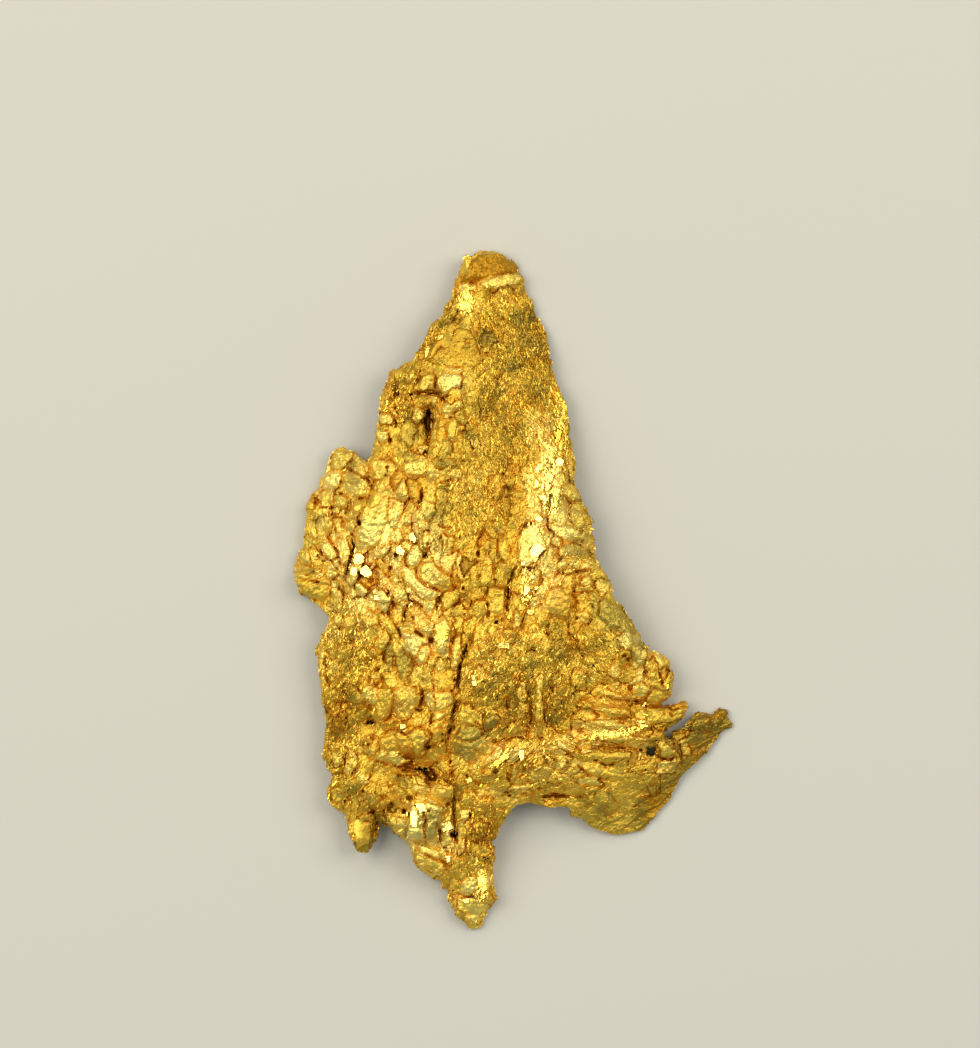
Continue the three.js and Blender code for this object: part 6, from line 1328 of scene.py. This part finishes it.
def native_gold(settings):
    """Bare native gold as it grew: metal, satin on its flats and finely crystalline elsewhere.

    To the eye: pale yellow where a facet catches the light, which in the listed zones and tops is painted
    light, and a duller gold there that is painted shade; olive, a painted dark reflection of the room; and
    an orange brown of iron oxide in the cracks and in flecks on the open ground, which in the hollows also
    stands in for their shade and in the most deeply cut cracks and pits turns to a dark brown of painted
    shade.
    """
    material = bpy.data.materials.new(GOLD)
    material.use_nodes = True
    tree = material.node_tree
    tree.nodes.clear()
    place = add(tree, "ShaderNodeTexCoord").outputs["Object"]
    kept = {}
    for name in ("hollow", "fresh_and_lit", "stain_and_shade", "polish"):
        kept[name] = add(tree, "ShaderNodeAttribute", attribute_name=name).outputs["Fac"]
    noise = add(tree, "ShaderNodeTexNoise", {"Vector": place, "Scale": 1 / GRAIN, "Detail": 4.0})
    grain = noise.outputs["Fac"]
    cells = add(tree, "ShaderNodeTexVoronoi", {"Vector": place, "Scale": 1 / SCALE})

    # Metal, from dulled to bright: the ramp carries painted shade and painted light as well.
    metal = add(tree, "ShaderNodeValToRGB", {"Fac": kept["fresh_and_lit"]})
    ramp = metal.color_ramp.elements
    ramp[0].color = settings.dull_and_shaded
    ramp[1].color = settings.pale
    ramp.new(0.5).color = settings.gold

    # Painted olive: a dark reflection of the room, laid over the metal where the tint is below 0.
    olive_reflection_share = add(tree, "ShaderNodeMapRange", {"Value": kept["stain_and_shade"], "From Max": -1.0, "To Max": 0.7})
    inputs = {"Factor": olive_reflection_share.outputs[0], 6: metal.outputs["Color"], 7: settings.olive_reflection}
    olive_reflection = add(tree, "ShaderNodeMix", inputs, data_type="RGBA")

    # Iron staining and painted shade: orange brown in the hollows, where it also stands for their shade, in
    # the listed zones, and in flecks, broken up by the grain.
    zone = add(tree, "ShaderNodeMapRange", {"Value": kept["stain_and_shade"], "To Max": 0.75})
    inputs = {"Value": grain, "From Min": 0.5, "From Max": 0.72, "To Max": 0.32}
    fleck = add(tree, "ShaderNodeMapRange", inputs)
    hollow = add(tree, "ShaderNodeMath", {0: kept["hollow"], 1: 1.0}, operation="MINIMUM")
    open_stain_and_shade = add(tree, "ShaderNodeMath", {0: fleck.outputs[0], 1: zone.outputs[0]}, operation="MAXIMUM")
    inputs = {0: hollow.outputs[0], 1: open_stain_and_shade.outputs[0]}
    all_stain_and_shade = add(tree, "ShaderNodeMath", inputs, operation="MAXIMUM")
    inputs = {"Value": grain, "From Min": 0.3, "From Max": 0.75, "To Min": 0.45}
    broken = add(tree, "ShaderNodeMapRange", inputs)
    inputs = {0: all_stain_and_shade.outputs[0], 1: broken.outputs[0]}
    amount = add(tree, "ShaderNodeMath", inputs, operation="MULTIPLY")
    inputs = {"Factor": amount.outputs[0], 6: olive_reflection.outputs[2], 7: settings.stain_and_shade}
    stained_and_shaded = add(tree, "ShaderNodeMix", inputs, data_type="RGBA")
    # Painted shade: the most deeply cut cracks and pits go to a dark brown.
    deep_shade = add(tree, "ShaderNodeMapRange", {"Value": kept["hollow"], "From Min": 0.9, "From Max": 2.0})
    inputs = {"Factor": deep_shade.outputs[0], 6: stained_and_shaded.outputs[2], 7: settings.deep}
    colour = add(tree, "ShaderNodeMix", inputs, data_type="RGBA")

    # The more a face is polished, the smoother it is and the less grain stands on it.
    rough = add(tree, "ShaderNodeMapRange", {"Value": kept["polish"], "To Min": 0.5, "To Max": 0.12})
    inputs = {"Value": kept["polish"], "From Min": 0.3, "To Min": 0.45, "To Max": 0.08}
    grain_strength = add(tree, "ShaderNodeMapRange", inputs)
    inputs = {"Value": kept["polish"], "From Min": 0.3, "To Min": 0.3, "To Max": 0.04}
    scale_strength = add(tree, "ShaderNodeMapRange", inputs)
    inputs = {"Height": grain, "Strength": grain_strength.outputs[0], "Distance": BUMP}
    grained = add(tree, "ShaderNodeBump", inputs)
    inputs = {"Height": cells.outputs["Distance"], "Strength": scale_strength.outputs[0], "Distance": BUMP}
    scaly = add(tree, "ShaderNodeBump", {**inputs, "Normal": grained.outputs[0]})
    inputs = {"Base Color": colour.outputs[2], "Roughness": rough.outputs[0], "Normal": scaly.outputs[0]}
    gold = add(tree, "ShaderNodeBsdfPrincipled", {**inputs, "Metallic": 1.0})
    add(tree, "ShaderNodeOutputMaterial", {"Surface": gold.outputs[0]})
    return material


def dress(piece):
    """Gives a piece its gold, and lets it ride on the leaf."""
    gold = bpy.data.materials.get(GOLD) or native_gold(bpy.context.scene.leafgold_gold)
    piece.data.materials.append(gold)
    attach(piece, "root")


# ---------------------------------------------------------------- stage
FLOOR_HALF = 2.0  # m from the middle of the floor to its edges
CAMERA_SIDE = -1.2 * MM  # the frame's middle lies this far from the leaf's, along X and Y
CAMERA_UP = 3.3 * MM
LENS = 200.0  # mm, on a 36 mm wide sensor
ROOM_COLOUR, ROOM_GLOW = "#B4C0BC", 0.72

# name, azimuth from +X, elevation, distance and size in metres, brightness, tint
LIGHTS = [
    ("left softbox", 160, 50, 0.30, (0.24, 0.22), 3.7, "#FFF6E4"),
    ("right softbox", 22, 46, 0.30, (0.18, 0.22), 3.7, "#FFF6E4"),
    ("far strip", 92, 38, 0.34, (0.26, 0.07), 3.4, "#FFF2DC"),
]


def lay_floor(colour):
    """A plain pale floor: board with matt paint, which shows no gloss."""
    mesh = bpy.data.meshes.new("floor")
    corners = [(FLOOR_HALF * x, FLOOR_HALF * y, 0) for x, y in ((-1, -1), (1, -1), (1, 1), (-1, 1))]
    mesh.from_pydata(corners, [], [(0, 1, 2, 3)])
    floor = put("floor", mesh)
    material = bpy.data.materials.new("matt_painted_board")
    material.use_nodes = True
    board = material.node_tree.nodes["Principled BSDF"]
    board.inputs["Base Color"].default_value = colour
    board.inputs["Roughness"].default_value = 0.9
    mesh.materials.append(material)


def hang_light(name, azimuth, elevation, distance, size, glow, tint):
    """Hangs a softbox that faces the leaf, as bright for its size as its glow says."""
    lamp = bpy.data.lights.new(name, "AREA")
    lamp.shape, lamp.size, lamp.size_y = "RECTANGLE", size[0], size[1]
    lamp.energy = glow * math.pi * size[0] * size[1]
    lamp.color = linear(tint)[:3]
    a, e = math.radians(azimuth), math.radians(elevation)
    place = Vector((math.cos(a) * math.cos(e), math.sin(a) * math.cos(e), math.sin(e))) * distance
    light = put(name, lamp)
    light.location = place
    light.rotation_euler = (-place).to_track_quat("-Z", "Y").to_euler()


def dim_room(scene):
    """The cool dim room that the gold mirrors between the softboxes."""
    world = bpy.data.worlds.new("dim cool room")
    world.use_nodes = True
    room = world.node_tree.nodes["Background"]
    room.inputs["Color"].default_value = linear(ROOM_COLOUR)
    room.inputs["Strength"].default_value = ROOM_GLOW
    scene.world = world


def look_down(scene, height):
    """Sets the camera straight over the leaf."""
    camera = put("camera", bpy.data.cameras.new("camera"))
    camera.data.lens, camera.data.clip_start = LENS, 0.01
    camera.location = (CAMERA_SIDE, CAMERA_UP, height)
    scene.camera = camera
    scene.view_settings.view_transform = "Standard"


# ---------------------------------------------------------------- sizes and colours a user would change
def user_colour(name, description, shade):
    """A colour that a user can pick, from its sRGB hex value."""
    return FloatVectorProperty(
        name=name, description=description, subtype="COLOR", size=4, min=0.0, max=1.0, default=linear(shade),
    )


class LeafSettings(bpy.types.PropertyGroup):
    voxel: FloatProperty(name="Grain", description="Mesh grain of the leaf in mm", default=0.072, min=0.05)
    relief: FloatProperty(name="Relief", description="Strength of the crystals and cracks", default=1.0)


class GoldSettings(bpy.types.PropertyGroup):
    # Pale yellow: painted light where the listed zones and tops run bright.
    pale: user_colour("Fresh gold", "Where a facet is fresh", "#FEE480")
    gold: user_colour("Gold", "The usual gold", "#ECC84E")
    # Duller gold: partly the metal's own, partly painted shade.
    dull_and_shaded: user_colour("Dull gold", "Where the gold has dulled", "#B08424")
    # Olive: a painted dark reflection of the room.
    olive_reflection: user_colour("Olive gold", "Under a thin olive film", "#908038")
    # Orange brown: iron staining, and painted shade in the hollows and the listed zones.
    stain_and_shade: user_colour("Stain", "Iron stain in the cracks", "#C87C08")
    # Dark brown: painted shade, over the iron staining, in the most deeply cut cracks and pits.
    deep: user_colour("Deep stain", "The deepest stain", "#6A3A04")


class StageSettings(bpy.types.PropertyGroup):
    floor: user_colour("Floor", "The painted floor", "#C9C7C2")
    camera_height: FloatProperty(
        name="Camera height", description="Above the floor", default=0.2925, unit="LENGTH", min=0.05,
    )
    light: FloatProperty(name="Light", description="Strength of the lights", default=0.97, min=0.0)


# ---------------------------------------------------------------- operators
class LEAFGOLD_OT_leaf(bpy.types.Operator):
    """Grow the leaf itself over its solid"""

    bl_idname = "leafgold.leaf"
    bl_label = "Leaf"

    def execute(self, context):
        settings = context.scene.leafgold_leaf
        whole = fine_leaf("whole", settings.voxel)
        mesh = whole.data
        face = read(mesh.polygons, "normal")[:, 2] > FACE_SLOPE
        grow(mesh, settings)
        far = read(mesh.polygons, "center")[:, 1] > CUT
        cuts = {
            "leaf_face_far": face & far,
            "leaf_face_near": face & ~far,
            "leaf_back_far": ~face & far,
            "leaf_back_near": ~face & ~far,
        }
        for name, wanted in cuts.items():
            piece = part(mesh, name, wanted)
            dress(piece)
            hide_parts(NODE)
        bpy.data.objects.remove(whole)
        return {"FINISHED"}


class LEAFGOLD_OT_crust(bpy.types.Operator):
    """Set the crust of small crystallites into the leaf"""

    bl_idname = "leafgold.crust"
    bl_label = "Crust"

    def execute(self, context):
        face = [bpy.data.objects["leaf_face_far"], bpy.data.objects["leaf_face_near"]]
        back = [bpy.data.objects["leaf_back_far"], bpy.data.objects["leaf_back_near"]]
        crusts = [
            ("face_crust_a", face, 13500, share_on_face, 3),
            ("face_crust_b", face, 13500, share_on_face, 4),
            ("back_crust", back, 9000, share_on_back, 5),
        ]
        for name, pieces, count, share, seed in crusts:
            dress(crust(name, pieces, count, share, seed))
        return {"FINISHED"}


class LEAFGOLD_OT_stage(bpy.types.Operator):
    """Lay a pale floor, hang soft lights and set the camera looking straight down"""

    bl_idname = "leafgold.stage"
    bl_label = "Stage"

    def execute(self, context):
        settings = context.scene.leafgold_stage
        lay_floor(settings.floor)
        for name, azimuth, elevation, distance, size, glow, tint in LIGHTS:
            hang_light(name, azimuth, elevation, distance, size, glow * settings.light, tint)
        dim_room(context.scene)
        look_down(context.scene, settings.camera_height)
        return {"FINISHED"}


class LEAFGOLD_PT_sidebar(bpy.types.Panel):
    """Lists the leaf's settings, its pieces and its stage"""

    bl_idname = "LEAFGOLD_PT_sidebar"
    bl_label = "Leaf gold crystal"
    bl_space_type = "VIEW_3D"
    bl_region_type = "UI"
    bl_category = "Leaf gold"

    def draw(self, context):
        for group in SETTINGS:
            settings = getattr(context.scene, group)
            for name in settings.__annotations__:
                self.layout.prop(settings, name)
        for operator in OPERATORS:
            self.layout.operator(operator.bl_idname)


OPERATORS = [LEAFGOLD_OT_leaf, LEAFGOLD_OT_crust, LEAFGOLD_OT_stage]
SETTINGS = {
    "leafgold_leaf": LeafSettings,
    "leafgold_gold": GoldSettings,
    "leafgold_stage": StageSettings,
}


def register():
    for group in (*SETTINGS.values(), *OPERATORS, LEAFGOLD_PT_sidebar):
        bpy.utils.register_class(group)
    for name, group in SETTINGS.items():
        setattr(bpy.types.Scene, name, PointerProperty(type=group))


def unregister():
    for name in SETTINGS:
        delattr(bpy.types.Scene, name)
    for group in (LEAFGOLD_PT_sidebar, *reversed(OPERATORS), *SETTINGS.values()):
        bpy.utils.unregister_class(group)


def main():
    register()
    bpy.ops.leafgold.leaf()
    bpy.ops.leafgold.crust()
    bpy.ops.leafgold.stage()


if __name__ == "__main__":
    main()
